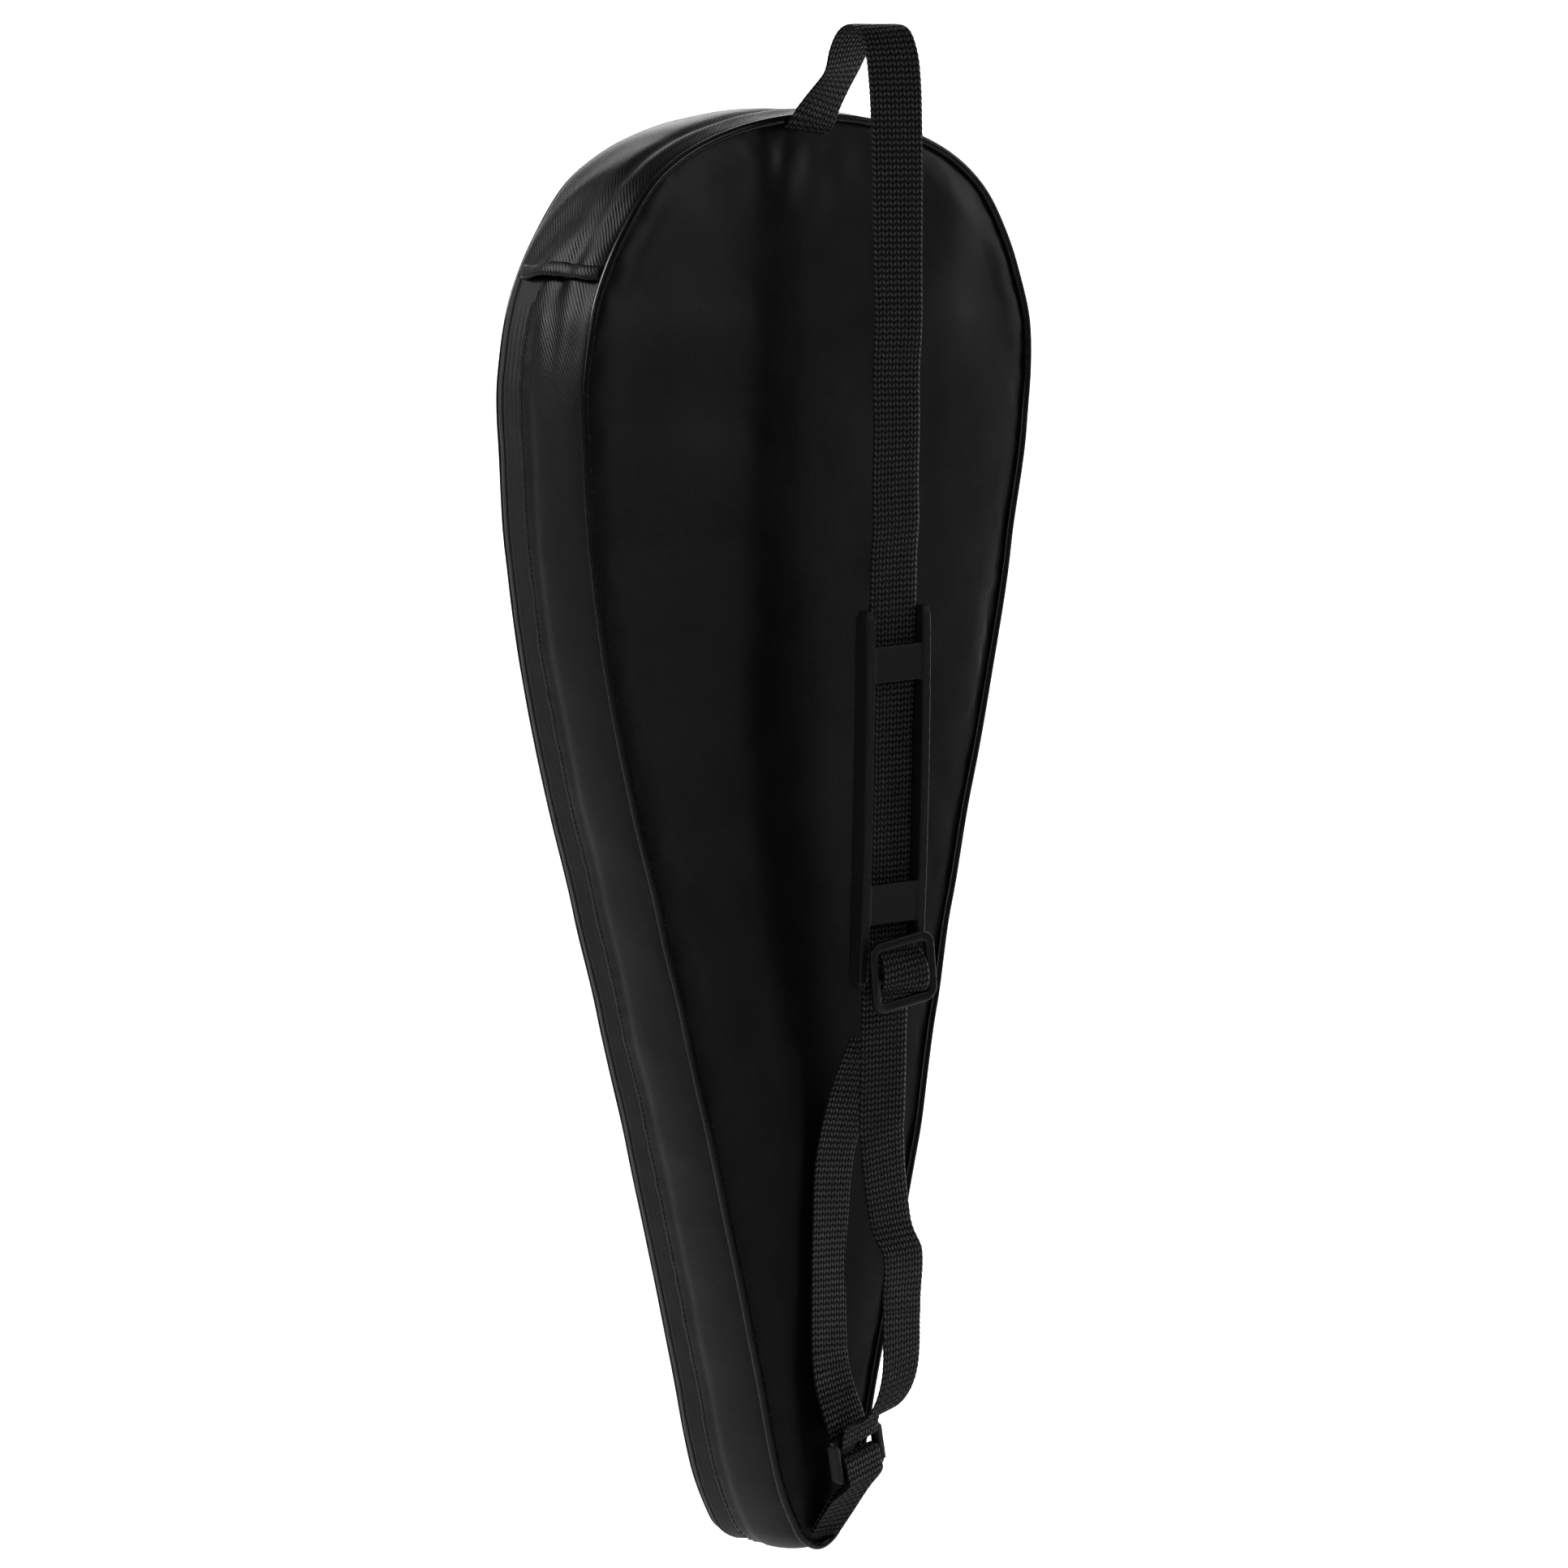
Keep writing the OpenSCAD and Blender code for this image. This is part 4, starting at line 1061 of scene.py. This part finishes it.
def pad_build(bm):
    def bowed(x, y, z):
        t = (z - (PT - PL / 2)) / (PL / 2)
        return RUNC(x, y - 1.6 * (1 - t * t) * (1 if y < 0 else 0.35), z)
    for s in (-1, 1):
        n = 60
        for k in range(n):
            za, zb_ = PT - PL * k / n, PT - PL * (k + 1) / n
            zm = (za + zb_) / 2
            e = min(PT - zm, zm - (PT - PL))
            nose = math.sqrt(max(0.0, 1 - (1 - min(1.0, e / 6.5)) ** 2))
            box_verts(bm, (s * (SLOT + RAIL / 2), -0.5, zm), (RAIL * (0.35 + 0.65 * nose), 9.6 * (0.3 + 0.7 * nose), abs(zb_ - za) + 0.5), None, bowed)
    n = 12
    for k in range(n):
        za, zb_ = PT - PL + 32 + (PL - 50) * k / n, PT - PL + 32 + (PL - 50) * (k + 1) / n
        box_verts(bm, (0, 2.75, (za + zb_) / 2), (2 * SLOT + 1.5, 2.5, zb_ - za + 0.4), None, bowed)
    for z0, z1 in ((PT - 36, PT - 18), (PT - PL + 32, PT - PL + 52)):
        for k in range(3):
            a, b = z0 + (z1 - z0) * k / 3, z0 + (z1 - z0) * (k + 1) / 3
            box_verts(bm, (0, -3.1, (a + b) / 2), (2 * SLOT + 1.5, 3.0, b - a + 0.3), None, bowed)


pad = moulded("shoulder_pad_moulding", pad_build, 0.00055, 5)
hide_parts("shoulder_pad"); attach(pad, "pad"); dress(pad, M_PAD)


def rounded_frame(bm, w, h, rad, wid, dep, place, seg=10, cy=0.0, prof_pow=1.0):
    """A rounded rectangular frame swept from a rounded cross section: wid across, dep front to back."""
    path = []
    for cx, cz, a0 in ((w / 2 - rad, h / 2 - rad, 0), (-w / 2 + rad, h / 2 - rad, 90), (-w / 2 + rad, -h / 2 + rad, 180), (w / 2 - rad, -h / 2 + rad, 270)):
        for k in range(seg + 1):
            a = math.radians(a0 + 90 * k / seg)
            path.append((cx + rad * math.cos(a), cz + rad * math.sin(a), math.cos(a), math.sin(a)))
    ps = 16
    rings = []
    for x, z, nx, nz_ in path:
        ring = []
        for k in range(ps):
            a = 2 * math.pi * k / ps
            ca, sa = math.cos(a), math.sin(a)
            f = (abs(ca) ** 4 + abs(sa) ** 4) ** -0.25          # squared circle
            ro, ry = ca * f * wid / 2, sa * f * dep / 2
            ring.append(bm.verts.new(place(x + nx * (ro - wid / 2), cy + ry, z + nz_ * (ro - wid / 2))))
        rings.append(ring)
    for i in range(len(rings)):
        a, b = rings[i], rings[(i + 1) % len(rings)]
        for k in range(ps):
            bm.faces.new((a[k], a[(k + 1) % ps], b[(k + 1) % ps], b[k]))


def adj_build(bm):
    pl_ = lambda x, y, z: RUNC(*adj(x, y - 0.004 * (x * x), z))
    rounded_frame(bm, 41.5, 36.5, 7.5, 5.2, 3.4, pl_)
    cyl_verts(bm, (0, 0.0, 0), "x", 1.5, 33, pl_)


adjm = moulded("adjuster_moulding", adj_build, 0.00036, 4)
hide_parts("strap_adjuster"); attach(adjm, "adjuster"); dress(adjm, M_HARD)


def ring_build(bm):
    pl_ = RINGC
    rounded_frame(bm, 39.2, RH + 4.6, 3.4, 4.2, 4.2, lambda x, y, z: RINGC(x, y, z + RH / 2))
    for s in (-1, 1):
        box_verts(bm, (s * 17.8, 0, RH / 2), (3.6, 5.4, RH - 1), None, pl_)


rg = moulded("bottom_ring_moulding", ring_build, 0.00036, 3)
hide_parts("bottom_ring"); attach(rg, "ring"); dress(rg, M_HARD)

# stitched blocks on the strap
pl = []
for k in range(9):
    x = -19 + 22 * k / 8
    pl.append((C(x, -40.3, 714.6 - 0.07 * (x + 7)), Vector((1, 0, 0)), Vector((0, -1, 0.3))))
tk = stitches("anchor_bartack", pl, 0.0028, 0.0003, "case"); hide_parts("strap_anchor_tack")
pl = []
for r in range(3):
    for k in range(5):
        pl.append((C(-5 + 10 * k / 4 + 0.6, -40.7 - r * 0.9, 5.4 + r * 1.8), Vector((1, 0, 0)), Vector((0, -1, -0.5))))
tk2 = stitches("tab_bartack", pl, 0.0022, 0.0003, "case"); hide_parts("ring_tab_tack")
# sewn rows across the return strand just above the ring
pl = []
for r, zz in enumerate((80, 88)):
    q = RETURN_LOW[0] if r == 0 else RETURN_LOW[1]
    for k in range(9):
        s = -12 + 24 * k / 8
        yw = math.radians(q[3])
        pl.append((C(q[0] + s * math.cos(yw), q[1] - 1.15 + s * math.sin(yw), q[2] + 3 + s * 0.12), Vector((1, 0.2, 0.12)), Vector((0, -1, 0))))
tk3 = stitches("return_stitches", pl, 0.0024, 0.0003, "case")


# ------------------------------------------------------------------ stage, light, camera
floor_me = bpy.data.meshes.new("floor")
rows = []
FZ = Z0 - 0.42
prof = [(-7.0, FZ)] + [(4.5, FZ)] + [(4.5 + 2.2 * math.sin(math.radians(a)), FZ + 2.2 - 2.2 * math.cos(math.radians(a))) for a in range(10, 91, 10)] + [(6.7, FZ + 9)]
vs, fs = [], []
for d, z in prof:
    for s in (-9.0, 9.0):
        fx, fy = math.sin(math.radians(40)), math.cos(math.radians(40))
        vs.append((fx * d + fy * s, fy * d - fx * s, z))
for i in range(len(prof) - 1):
    fs.append((i * 2, i * 2 + 1, i * 2 + 3, i * 2 + 2))
floor_me.from_pydata(vs, [], fs)
floor_me.polygons.foreach_set("use_smooth", [True] * len(floor_me.polygons))
floor = bpy.data.objects.new("floor", floor_me); bpy.context.collection.objects.link(floor)
gf = G("paper"); vec, _, _, _ = gf.obj_coords(1.0)
floor_me.materials.append(gf.out(gf.mixc(gf.noise(vec, 3.0, 2.0), (0.93, 0.93, 0.93), (0.95, 0.95, 0.95)), 0.9, None, spec=0.1))

w = bpy.data.worlds.new("world"); bpy.context.scene.world = w
w.use_nodes = True
w.node_tree.nodes["Background"].inputs[0].default_value = (1, 1, 1, 1)
w.node_tree.nodes["Background"].inputs[1].default_value = 0.05


def area(name, loc, target, size, power, size_y=None):
    l = bpy.data.lights.new(name, "AREA"); l.shape = "RECTANGLE"; l.size = size; l.size_y = size_y or size; l.energy = power
    o = bpy.data.objects.new(name, l); bpy.context.collection.objects.link(o)
    o.location = loc
    o.rotation_euler = (Vector(target) - Vector(loc)).to_track_quat("-Z", "Y").to_euler()
    return o


mid = C(0, 0, 400)
area("gusset_strip", mid + Vector((-1.45, 1.0, 1.15)), mid + Vector((0, 0, 0.25)), 0.7, 20.0, 0.6)
area("rail_strip", mid + Vector((-1.75, -0.42, 0.55)), mid + Vector((0, 0, 0.15)), 0.5, 3.2, 0.8)
area("panel_strip_left", mid + Vector((0.50, -1.20, 0.64)), mid + Vector((0, 0, 0.22)), 0.24, 1.6, 0.8)
area("panel_strip_right", mid + Vector((1.18, -0.56, 0.64)), mid + Vector((0, 0, 0.22)), 0.24, 1.55, 0.8)
area("piping_edge", mid + Vector((1.9, -0.01, -0.15)), mid + Vector((0, 0, -0.15)), 0.15, 4.0, 1.2)
area("top_soft", mid + Vector((-0.2, -0.5, 2.4)), mid, 1.4, 1.0)
area("front_fill", mid + Vector((-1.9, -2.6, 0.5)), mid, 1.2, 0.6)
area("backdrop_wash", Vector((2.6, 3.1, 2.8)), Vector((4.3, 5.1, -0.3)), 3.4, 340)

A, E, D = math.radians(-40), math.radians(3.7), 5.5
cam = bpy.data.cameras.new("camera"); cam.sensor_width = 36.0; cam.lens = 36.0 * D / 0.786
cam.clip_end = 60
co = bpy.data.objects.new("camera", cam); bpy.context.collection.objects.link(co)
tgt = C(7.0, 0, 382)
tgt = C(0, -21.5, 382) + Vector((math.cos(A), math.sin(A), 0)) * -0.0085
co.location = tgt + Vector((math.sin(A) * math.cos(E), -math.cos(A) * math.cos(E), math.sin(E))) * D
co.rotation_euler = (tgt - co.location).to_track_quat("-Z", "Y").to_euler()
bpy.context.scene.camera = co
bpy.context.scene.view_settings.view_transform = "Standard"
